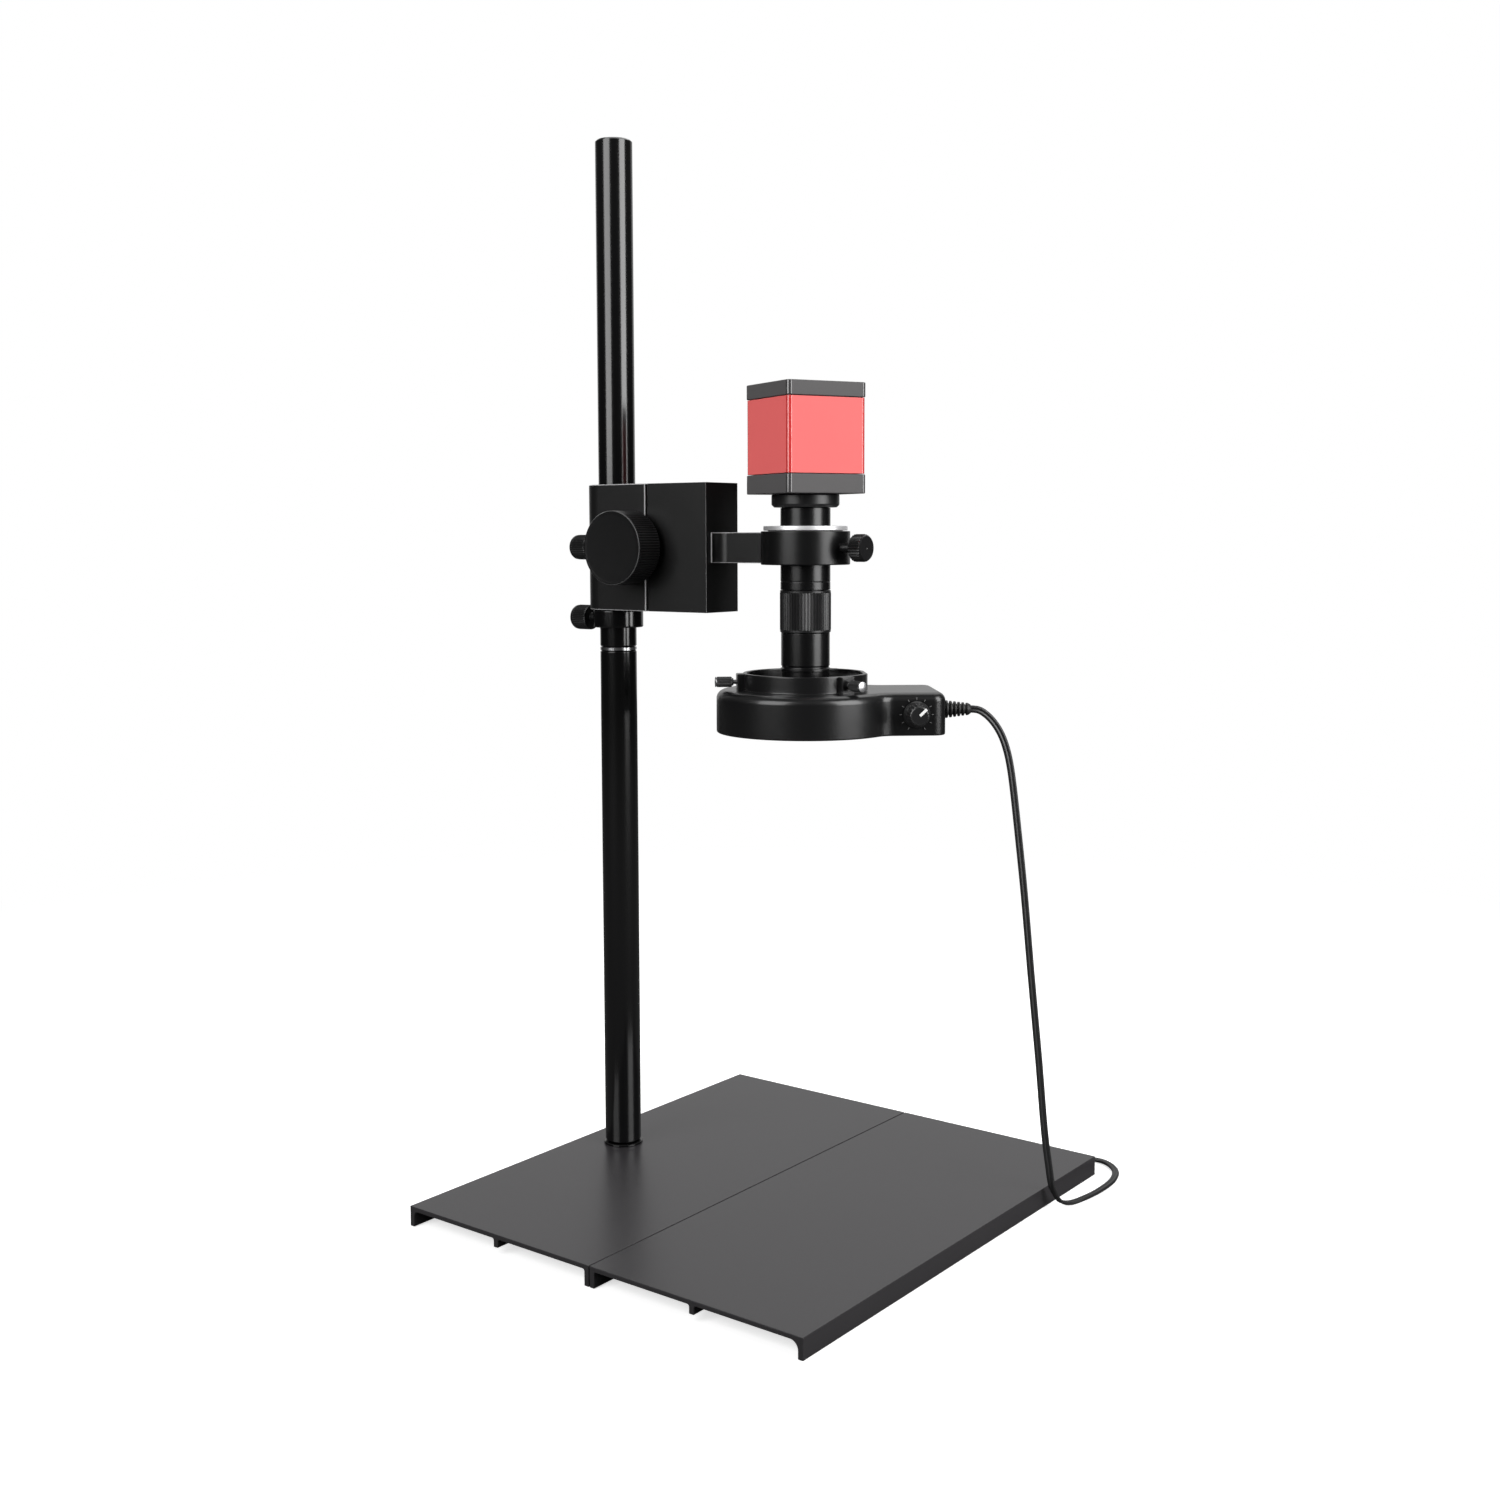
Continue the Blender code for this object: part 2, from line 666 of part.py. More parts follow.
def make_clamp(palette):
    front = -CLAMP_FRONT
    tip = front - DOVETAIL_DEPTH
    slot = RACK_SLOT_HALF_WIDTH
    slot_end = PINION_Y + PINION_TIP_RADIUS + 0.0009
    outline = arc((0, 0), CLAMP_HALF_WIDTH, 0, 180, 16)
    outline += [
        (-CLAMP_HALF_WIDTH, front),
        (-DOVETAIL_NECK, front),
        (-DOVETAIL_HEAD, tip),
        (-slot, tip),
        (-slot, slot_end),
        (slot, slot_end),
        (slot, tip),
        (DOVETAIL_HEAD, tip),
        (DOVETAIL_NECK, front),
        (CLAMP_HALF_WIDTH, front),
    ]
    clamp = prism("clamp_block", outline, 0, BLOCK_HEIGHT, palette["black"], BLOCK_EDGE)
    clamp.location = (0, POST_Y, BLOCK_Z)
    middle = BLOCK_HEIGHT / 2
    bore = bmesh.new()
    add_rod(bore, (0, 0, -0.01), (0, 0, BLOCK_HEIGHT + 0.01), POST_RADIUS + SLIDE_GAP, 32)
    apply_tool(clamp, tool_object("clamp_block_bore", bore), "DIFFERENCE")
    wide = CLAMP_HALF_WIDTH + 0.01
    knob_hole = KNOB_SHANK_RADIUS + SEAT_GAP
    drill(
        clamp,
        [
            ((-wide, PINION_Y, middle), (wide, PINION_Y, middle), BUSH_RADIUS + SEAT_GAP),
            ((0, POST_RADIUS - 0.002, middle), (0, 0.03, middle), knob_hole),
        ],
    )
    shank = KNOB_REACH - POST_RADIUS - SEAT_GAP
    rings = knob_rings(KNOB_RADIUS, KNOB_LENGTH, KNOB_TEETH, KNOB_SHANK_RADIUS, shank)
    knob = loft("clamp_knob", rings, palette["black"])
    aim(knob, (0, POST_Y + KNOB_REACH, AXIS_Z), (0, 1, 0))

    inner = SHAFT_RADIUS + BUSH_CLEARANCE
    start = CLAMP_HALF_WIDTH - BUSH_LENGTH
    outline = [(inner, 0), (BUSH_RADIUS, 0), (BUSH_RADIUS, BUSH_LENGTH), (inner, BUSH_LENGTH)]
    for name, side in (("pinion_bush_left", -1), ("pinion_bush_right", 1)):
        bush = turned(name, outline, palette["brass"], 16)
        aim(bush, (side * start, POST_Y + PINION_Y, AXIS_Z), (side, 0, 0))


def make_carriage(palette):
    back = -CLAMP_FRONT - SEAT_GAP
    front = -CARRIAGE_FRONT
    edge = CARRIAGE_EDGE
    half = CARRIAGE_HALF_WIDTH
    gib_room = 2 * SLIDE_GAP + GIB_THICKNESS
    outline = [
        (half - edge, front),
        (half, front + edge),
        (half, back),
        (flank_x(back, gib_room), back),
        (flank_x(SLOT_FLOOR_Y, gib_room), SLOT_FLOOR_Y),
        (-flank_x(SLOT_FLOOR_Y, SLIDE_GAP), SLOT_FLOOR_Y),
        (-flank_x(back, SLIDE_GAP), back),
        (-half, back),
        (-half, front + edge),
        (-half + edge, front),
    ]
    carriage = prism("carriage", outline, 0, BLOCK_HEIGHT, palette["black"], BLOCK_EDGE)
    carriage.location = (0, POST_Y, BLOCK_Z)
    middle = BLOCK_HEIGHT / 2
    pocket_x = ARM_TENON_HALF_WIDTH + SEAT_GAP
    pocket_z = ARM_BAR_HEIGHT / 2 + SEAT_GAP
    pocket_end = front + ARM_TENON_LENGTH + SEAT_GAP
    gib_y = -CLAMP_FRONT - DOVETAIL_DEPTH / 2
    gib_hole = GIB_SCREW_RADIUS + SEAT_GAP
    out = half + 0.01
    rods = []
    for z in gib_screw_levels():
        rods.append(((out, gib_y, middle + z), (half - 0.006, gib_y, middle + z), gib_hole))
    arm_hole = ARM_SCREW_RADIUS + SEAT_GAP
    for z in arm_screw_levels():
        rods.append(((out, arm_screw_y(), middle + z), (0.003, arm_screw_y(), middle + z), arm_hole))
    pocket = ((-pocket_x, front - 0.01, middle - pocket_z), (pocket_x, pocket_end, middle + pocket_z))
    drill(carriage, rods, [pocket])
    make_gib(palette)
    make_arm_screws(palette)


def arm_screw_y():
    return -CARRIAGE_FRONT + ARM_TENON_LENGTH / 2


def arm_screw_levels():
    return (-ARM_BAR_HEIGHT / 4, ARM_BAR_HEIGHT / 4)


def gib_screw_levels():
    return (-GIB_SCREW_SPACING, GIB_SCREW_SPACING)


def make_gib(palette):
    low = -CLAMP_FRONT - 2 * SEAT_GAP
    high = SLOT_FLOOR_Y + 2 * SEAT_GAP
    near, far = SLIDE_GAP, SLIDE_GAP + GIB_THICKNESS
    outline = [
        (flank_x(high, near), high),
        (flank_x(high, far), high),
        (flank_x(low, far), low),
        (flank_x(low, near), low),
    ]
    gib = prism("gib_strip", outline, 0, BLOCK_HEIGHT - 0.002, palette["brass"])
    gib.location = (0, POST_Y, BLOCK_Z + 0.001)
    y = -CLAMP_FRONT - DOVETAIL_DEPTH / 2
    inner = flank_x(y - GIB_SCREW_RADIUS, far) + SEAT_GAP
    outline = [(0, 0), (GIB_SCREW_RADIUS, 0)]
    long = CARRIAGE_HALF_WIDTH - 0.0004 - inner
    outline += [(GIB_SCREW_RADIUS, long), (0.0008, long), (0.0006, long - 0.001), (0, long - 0.001)]
    for name, z in zip(("gib_screw_lower", "gib_screw_upper"), gib_screw_levels()):
        screw = turned(name, outline, palette["steel"], 12)
        aim(screw, (inner, POST_Y + y, AXIS_Z + z), (1, 0, 0))


def make_arm_screws(palette):
    inner = ARM_TENON_HALF_WIDTH + SEAT_GAP
    long = CARRIAGE_HALF_WIDTH - 0.0005 - inner
    outline = [(0, 0), (ARM_SCREW_RADIUS, 0), (ARM_SCREW_RADIUS, long)]
    outline += [(0.0012, long), (0.001, long - 0.0015), (0, long - 0.0015)]
    for name, z in zip(("arm_screw_lower", "arm_screw_upper"), arm_screw_levels()):
        screw = turned(name, outline, palette["steel"], 12)
        aim(screw, (inner, POST_Y + arm_screw_y(), AXIS_Z + z), (1, 0, 0))


# Rack and pinion
def rack_outline():
    """The rack in side view, as (Y, Z) from the post axis and the block's middle."""
    pitch = math.pi * GEAR_MODULE
    thick = pitch / 2 - BACKLASH / 2
    lean = math.tan(PRESSURE_ANGLE)
    tip = RACK_PITCH_Y + GEAR_MODULE
    root = RACK_PITCH_Y - 1.25 * GEAR_MODULE
    half_tip = thick / 2 - lean * GEAR_MODULE
    half_root = thick / 2 + lean * 1.25 * GEAR_MODULE
    reach = RACK_TEETH * pitch / 2 + RACK_END
    points = [(SLOT_FLOOR_Y + SEAT_GAP, -reach), (root, -reach)]
    first = -(RACK_TEETH - 1) / 2
    for k in range(RACK_TEETH):
        z = (first + k) * pitch
        points += [(root, z - half_root), (tip, z - half_tip), (tip, z + half_tip), (root, z + half_root)]
    points += [(root, reach), (SLOT_FLOOR_Y + SEAT_GAP, reach)]
    return points


def make_rack(palette):
    half = PINION_WIDTH / 2
    outline = rack_outline()
    rings = [[Vector((x, y, z)) for y, z in outline] for x in (-half, half)]
    rack = loft("rack", rings, palette["brass"])
    rack.location = (0, POST_Y, AXIS_Z)


def involute_half_angle(radius):
    """Half of a pinion tooth's angle at a radius, from the involute of the base circle."""
    base = PINION_PITCH_RADIUS * math.cos(PRESSURE_ANGLE)
    at_pitch = (math.pi * GEAR_MODULE / 2 - BACKLASH) / (2 * PINION_PITCH_RADIUS)
    involute = math.tan(PRESSURE_ANGLE) - PRESSURE_ANGLE
    if radius <= base:
        return at_pitch + involute
    pressure = math.acos(base / radius)
    return at_pitch + involute - (math.tan(pressure) - pressure)


def pinion_ring(x):
    """The pinion's rim at one X, a gap at its foremost point, so that a rack tooth fits in."""
    radii = (PINION_ROOT_RADIUS, PINION_PITCH_RADIUS, PINION_TIP_RADIUS)
    points = []
    step = math.tau / PINION_TEETH
    for tooth in range(PINION_TEETH):
        middle = -math.pi / 2 + (tooth + 0.5) * step
        rising = [(r, middle - involute_half_angle(r)) for r in radii]
        falling = [(r, middle + involute_half_angle(r)) for r in reversed(radii)]
        for r, t in rising + falling:
            points.append(Vector((x, r * math.cos(t), r * math.sin(t))))
    return points


def make_focus_shaft(palette):
    half = PINION_WIDTH / 2
    near = CLAMP_HALF_WIDTH + 3 * SEAT_GAP
    reach = near + FOCUS_KNOB_LENGTH * 0.75
    outline = [(0, -reach), (SHAFT_RADIUS, -reach), (SHAFT_RADIUS, reach), (0, reach)]
    bm = bmesh.new()
    add_turned_at(bm, outline, 16, (0, 0, 0), (1, 0, 0))
    shaft = finish("pinion_shaft", bm, palette["steel"])
    shaft.location = (0, POST_Y + PINION_Y, AXIS_Z)
    teeth = bmesh.new()
    add_loft(teeth, [pinion_ring(-half), pinion_ring(half)])
    apply_tool(shaft, tool_object("pinion_shaft_teeth", teeth), "UNION")

    bore = SHAFT_RADIUS + SEAT_GAP
    deep = reach - near + SEAT_GAP
    count = 2 * FOCUS_KNOB_TEETH
    edge = 0.0008
    rim = FOCUS_KNOB_RADIUS - KNURL_DEPTH
    long = FOCUS_KNOB_LENGTH
    for name, side in (("focus_knob_left", -1), ("focus_knob_right", 1)):
        rings = [
            circle(bore, count, deep),
            circle(bore, count, 0),
            circle(rim - edge, count, 0),
            star(FOCUS_KNOB_RADIUS, KNURL_DEPTH, FOCUS_KNOB_TEETH, edge),
            star(FOCUS_KNOB_RADIUS, KNURL_DEPTH, FOCUS_KNOB_TEETH, long - edge),
            circle(rim - edge, count, long),
        ]
        knob = loft(name, rings, palette["black"])
        aim(knob, (side * near, POST_Y + PINION_Y, AXIS_Z), (side, 0, 0))


# Ring arm
def arm_outline():
    """The arm from above, from its tenon in the carriage to the ring. Y is from the post axis."""
    root = -CARRIAGE_FRONT - SEAT_GAP
    flare = ARM_ROOT_HALF_WIDTH - ARM_BAR_HALF_WIDTH
    into_ring = -ARM_REACH + ARM_RING_BORE + 0.0015
    right = [(ARM_TENON_HALF_WIDTH, root + ARM_TENON_LENGTH), (ARM_TENON_HALF_WIDTH, root)]
    right.append((ARM_ROOT_HALF_WIDTH, root))
    right += arc((ARM_ROOT_HALF_WIDTH, root - ARM_ROOT_LAND - flare), flare, 90, 180, 6)
    right.append((ARM_BAR_HALF_WIDTH, into_ring))
    left = [(-x, y) for x, y in reversed(right)]
    return list(reversed(right + left))


def make_ring_arm(palette):
    half = ARM_BAR_HEIGHT / 2
    arm = prism("ring_arm", arm_outline(), -half, half, palette["black"], 0.0003)
    arm.location = (0, POST_Y, AXIS_Z)
    ring = bmesh.new()
    high, edge = ARM_RING_HEIGHT / 2, 0.0006
    outline = [
        (0, -high),
        (ARM_RING_RADIUS - edge, -high),
        (ARM_RING_RADIUS, -high + edge),
        (ARM_RING_RADIUS, high - edge),
        (ARM_RING_RADIUS - edge, high),
        (0, high),
    ]
    add_turned_at(ring, outline, 36, (0, -ARM_REACH, 0), (0, 0, 1))
    apply_tool(arm, tool_object("ring_arm_ring", ring), "UNION")
    bore = bmesh.new()
    add_rod(bore, (0, -ARM_REACH, -0.02), (0, -ARM_REACH, 0.02), ARM_RING_BORE, 36)
    apply_tool(arm, tool_object("ring_arm_bore", bore), "DIFFERENCE")
    hole = KNOB_SHANK_RADIUS + SEAT_GAP
    near = -ARM_REACH - ARM_RING_BORE + 0.002
    drill(arm, [((0, near, 0), (0, near - 0.01, 0), hole)])

    shank = LOCK_KNOB_NEAR - (ARM_RING_BORE - SLIDE_GAP) - SEAT_GAP
    rings = knob_rings(KNOB_RADIUS, KNOB_LENGTH, KNOB_TEETH, KNOB_SHANK_RADIUS, shank, 0.0006)
    knob = loft("ring_lock_knob", rings, palette["black"])
    aim(knob, (0, LENS_Y - LOCK_KNOB_NEAR, AXIS_Z), (0, -1, 0))


# Lens
def make_lens(palette):
    lens_axis = make_axis("lens_axis", (0, LENS_Y, BASE_HEIGHT))
    ring_top = AXIS_Z - BASE_HEIGHT + ARM_RING_HEIGHT / 2
    bore = BARREL_RADIUS + SEAT_GAP
    sleeve = ARM_RING_BORE - SLIDE_GAP
    seat = ring_top + SEAT_GAP
    outline = [
        (bore, seat - ADAPTER_SLEEVE_LENGTH),
        (sleeve, seat - ADAPTER_SLEEVE_LENGTH),
        (sleeve, seat),
        (ADAPTER_FLANGE_RADIUS, seat),
        (ADAPTER_FLANGE_RADIUS, seat + ADAPTER_FLANGE_THICKNESS - 0.0004),
        (ADAPTER_FLANGE_RADIUS - 0.0004, seat + ADAPTER_FLANGE_THICKNESS),
        (bore, seat + ADAPTER_FLANGE_THICKNESS),
    ]
    adapter = turned("adapter_ring", outline, palette["silver"], 28)

    neck_bottom = ZOOM_RING_BOTTOM - 0.0065
    step = ZOOM_RING_TOP + SLIDE_GAP
    outline = [
        (BARREL_BORE, neck_bottom),
        (NECK_RADIUS, neck_bottom),
        (NECK_RADIUS, step),
        (BARREL_RADIUS - 0.0003, step),
        (BARREL_RADIUS, step + 0.0003),
        (BARREL_RADIUS, BARREL_TOP - 0.0003),
        (BARREL_RADIUS - 0.0003, BARREL_TOP),
        (MOUNT_THREAD_RADIUS, BARREL_TOP),
        (MOUNT_THREAD_RADIUS, BARREL_TOP + MOUNT_THREAD_LENGTH),
        (BARREL_BORE, BARREL_TOP + MOUNT_THREAD_LENGTH),
    ]
    upper = turned("upper_barrel", outline, palette["gloss"], 24)

    socket = NECK_RADIUS + SEAT_GAP
    top = ZOOM_RING_BOTTOM - SLIDE_GAP
    shelf = neck_bottom - SEAT_GAP
    flange = LENS_BOTTOM + NOSE_LENGTH
    flange_top = flange + NOSE_FLANGE_HEIGHT
    glass_seat = LENS_BOTTOM + 0.0025
    outline = [
        (NOSE_BORE, LENS_BOTTOM),
        (NOSE_RADIUS - 0.0004, LENS_BOTTOM),
        (NOSE_RADIUS, LENS_BOTTOM + 0.0004),
        (NOSE_RADIUS, flange),
        (NOSE_FLANGE_RADIUS, flange),
        (NOSE_FLANGE_RADIUS, flange_top),
        (LOWER_BARREL_RADIUS - 0.0006, flange_top + 0.0004),
        (LOWER_BARREL_RADIUS, flange_top + 0.0010),
        (LOWER_BARREL_RADIUS, top),
        (socket, top),
        (socket, shelf),
        (BARREL_BORE, shelf),
        (BARREL_BORE, glass_seat),
        (NOSE_BORE, glass_seat),
    ]
    lower = turned("lower_barrel", outline, palette["gloss"], 24)

    count = 2 * ZOOM_RING_TEETH
    inner = NECK_RADIUS + SLIDE_GAP
    rim = ZOOM_RING_RADIUS - KNURL_DEPTH
    edge = 0.0008
    rings = [
        circle(inner, count, ZOOM_RING_BOTTOM),
        circle(rim - 0.0004, count, ZOOM_RING_BOTTOM),
        star(ZOOM_RING_RADIUS, KNURL_DEPTH, ZOOM_RING_TEETH, ZOOM_RING_BOTTOM + edge),
        star(ZOOM_RING_RADIUS, KNURL_DEPTH, ZOOM_RING_TEETH, ZOOM_RING_TOP - edge),
        circle(rim - 0.0004, count, ZOOM_RING_TOP),
        circle(inner, count, ZOOM_RING_TOP),
    ]
    zoom = loft("zoom_ring", rings, palette["black"], closed=True)

    glass = BARREL_BORE - SEAT_GAP
    low = glass_seat + SEAT_GAP
    front_lens = turned("front_lens", lens_outline(glass, low, 0.0034, 0.0012), palette["glass"], 16)
    rear_lens = turned("rear_lens", lens_outline(glass, 0.3600, 0.0030, 0.0010), palette["glass"], 16)

    cell_low = ZOOM_RING_BOTTOM + 0.002
    cell_high = cell_low + ZOOM_CELL_LENGTH
    outer = BARREL_BORE - SLIDE_GAP
    wall = outer - ZOOM_CELL_WALL
    lip = wall - 0.0012
    outline = [
        (lip, cell_low),
        (outer, cell_low),
        (outer, cell_high),
        (wall, cell_high),
        (wall, cell_low + 0.0015),
        (lip, cell_low + 0.0015),
    ]
    cell = turned("zoom_cell", outline, palette["black"], 20)
    seated = lens_outline(wall - SEAT_GAP, cell_low + 0.0015 + SEAT_GAP, 0.0034, 0.0010)
    zoom_lens = turned("zoom_lens", seated, palette["glass"], 16)
    hang_on(lens_axis, adapter, upper, lower, zoom, front_lens, rear_lens, cell, zoom_lens)


def lens_outline(radius, low, edge_height, crown):
    """A convex glass, flat-edged, as (radius, height)."""
    high = low + edge_height
    inner = radius * 0.55
    return [
        (0, low),
        (inner, low + crown * 0.15),
        (radius, low + crown * 0.6),
        (radius, high - crown * 0.6),
        (inner, high - crown * 0.15),
        (0, high),
    ]


# Camera head
def shell_section(width, cut):
    """The shell's inner section: a square with its corners cut across, where the screw lands are."""
    half = width / 2
    points = []
    for quarter in range(4):
        turn = Matrix.Rotation(math.radians(90 * quarter), 2)
        corner = [(half, half - cut), (half - cut * 0.35, half - cut), (half - cut, half - cut * 0.35)]
        corner.append((half - cut, half))
        points += [tuple(turn @ Vector(p)) for p in corner]
    return points


def screw_corners():
    offset = HEAD_SCREW_OFFSET
    return [(sx * offset, sy * offset) for sx in (-1, 1) for sy in (-1, 1)]


def make_head(palette):
    axis = make_axis("head_axis", (0, LENS_Y, BASE_HEIGHT), HEAD_TURN)
    cap_top = HEAD_BOTTOM + BOTTOM_CAP_HEIGHT
    shell_low = cap_top + SEAT_GAP
    shell_high = shell_low + SHELL_HEIGHT
    top_low = shell_high + SEAT_GAP
    top_high = top_low + TOP_CAP_HEIGHT

    square = rounded_rectangle(HEAD_WIDTH, HEAD_WIDTH, HEAD_CORNER)
    bottom = prism("head_bottom_cap", square, HEAD_BOTTOM, cap_top, palette["grey"], HEAD_EDGE)
    hang_on(axis, bottom)
    thread = MOUNT_THREAD_RADIUS + SEAT_GAP
    step = HEAD_BOTTOM + 0.0055
    rods = [((0, 0, HEAD_BOTTOM - 0.01), (0, 0, step + 0.001), thread)]
    sunk = HEAD_BOTTOM + SCREW_SINK
    rods += [((x, y, HEAD_BOTTOM - 0.01), (x, y, sunk), SINK_RADIUS) for x, y in screw_corners()]
    drill(bottom, rods, [((-0.0135, -0.0135, step), (0.0135, 0.0135, cap_top + 0.01))])

    inner = shell_section(2 * (SHELL_OUTER - SHELL_WALL), 0.0062)
    outer = rounded_rectangle(2 * SHELL_OUTER, 2 * SHELL_OUTER, HEAD_CORNER)
    rings = [
        at_height(outer, shell_low),
        at_height(outer, shell_high),
        at_height(inner, shell_high),
        at_height(inner, shell_low),
    ]
    shell = loft("head_shell", rings, palette["red"], closed=True)
    hang_on(axis, shell)

    plate = 0.0030
    land = shell_section(HEAD_WIDTH - 0.0060, 0.0062)
    rings = [
        at_height(square, top_low),
        at_height(square, top_high - HEAD_EDGE),
        at_height(inset(square, HEAD_EDGE), top_high),
    ]
    top = loft("head_top_cap", rings, palette["grey"])
    hang_on(axis, top)
    hollow = bmesh.new()
    add_loft(hollow, [at_height(land, top_low - 0.01), at_height(land, top_high - plate)])
    tool = tool_object("head_top_cap_hollow", hollow)
    apply_tool(top, tool, "DIFFERENCE")
    sunk = top_high - SCREW_SINK
    rods = [((x, y, sunk), (x, y, top_high + 0.01), SINK_RADIUS) for x, y in screw_corners()]
    rods.append(((*JACK_PLACE, top_high - 0.01), (*JACK_PLACE, top_high + 0.01), 0.0042))
    drill(top, rods, [port_hole(*port, top_high) for port in PORTS.values()])

    make_head_inside(palette, axis, cap_top, shell_high, top_high)
    make_mount_ring(palette, axis)


def port_hole(middle, size, top):
    x, y = middle
    half_x, half_y = size[0] / 2 + SEAT_GAP, size[1] / 2 + SEAT_GAP
    return ((x - half_x, y - half_y, top - 0.01), (x + half_x, y + half_y, top + 0.01))


def make_head_inside(palette, axis, cap_top, shell_high, top_high):
    half = 0.0185
    cut = 0.0050
    board = shell_section(2 * half, cut)
    sensor_z = cap_top + SEAT_GAP
    sensor_board = prism("sensor_board", board, sensor_z, sensor_z + BOARD_THICKNESS, palette["board"])
    chip = rounded_rectangle(0.0120, 0.0110, 0.0004, 1)
    sensor = prism("image_sensor", chip, sensor_z - 0.0021, sensor_z - SEAT_GAP, palette["glass"])
    main_z = shell_high - 0.0045
    main_board = prism("main_board", board, main_z, main_z + BOARD_THICKNESS, palette["board"])
    hang_on(axis, sensor_board, sensor, main_board)

    floor = main_z + BOARD_THICKNESS + SEAT_GAP
    mouth = top_high - 0.0006
    for name, (middle, size) in PORTS.items():
        outer = [(middle[0] + x, middle[1] + y) for x, y in rounded_rectangle(*size, 0.0008, 2)]
        inner = inset(outer, 0.0004)
        rings = [
            at_height(outer, floor),
            at_height(outer, mouth),
            at_height(inner, mouth),
            at_height(inner, floor + 0.0015),
        ]
        hang_on(axis, loft(name, rings, palette["steel"]))
    outline = [
        (0, floor),
        (0.0039, floor),
        (0.0039, mouth),
        (0.0028, mouth),
        (0.0028, floor + 0.0015),
        (0.0010, floor + 0.0015),
        (0.0010, mouth - 0.0010),
        (0, mouth - 0.0010),
    ]
    jack = turned("power_jack", outline, palette["plastic"], 12)
    jack.location = (*JACK_PLACE, 0)
    hang_on(axis, jack)


def make_mount_ring(palette, axis):
    bore = MOUNT_THREAD_RADIUS + SEAT_GAP
    low = BARREL_TOP + SEAT_GAP
    high = low + MOUNT_RING_HEIGHT
    outline = [
        (bore, low + 0.0006),
        (bore + 0.0006, low),
        (MOUNT_RING_RADIUS - MOUNT_RING_CHAMFER, low),
        (MOUNT_RING_RADIUS, low + MOUNT_RING_CHAMFER),
        (MOUNT_RING_RADIUS, high),
        (bore, high),
    ]
    hang_on(axis, turned("mount_ring", outline, palette["black"], 28))


# Ring light
def light_outline(smaller=0.0):
    """The housing from above, moved inwards by a distance. +X runs along the control box."""
    radius = LIGHT_RADIUS - smaller
    half = CONTROL_BOX_HALF_WIDTH - smaller
    reach = CONTROL_BOX_REACH - smaller
    corner = CONTROL_BOX_CORNER - smaller
    blend = CONTROL_BOX_BLEND + smaller
    blend_y = half + blend
    blend_x = math.sqrt((radius + blend) ** 2 - blend_y**2)
    lean = math.degrees(math.atan2(blend_y, blend_x))
    outline = arc((reach - corner, -half + corner), corner, -90, 0, 3)
    outline += arc((reach - corner, half - corner), corner, 0, 90, 3)
    outline += arc((blend_x, blend_y), blend, 270, 180 + lean, 3)
    outline += arc((0, 0), radius, lean, 360 - lean, 28)[1:-1]
    outline += arc((blend_x, -blend_y), blend, 180 - lean, 90, 3)
    return outline


def round_with(outline, radius, height):
    """A circle with one point beside each point of an outline."""
    return [Vector((*(Vector(p).normalized() * radius), height)) for p in outline]


def boss_angles():
    return [THUMB_ANGLE + math.tau * k / 3 for k in range(3)]


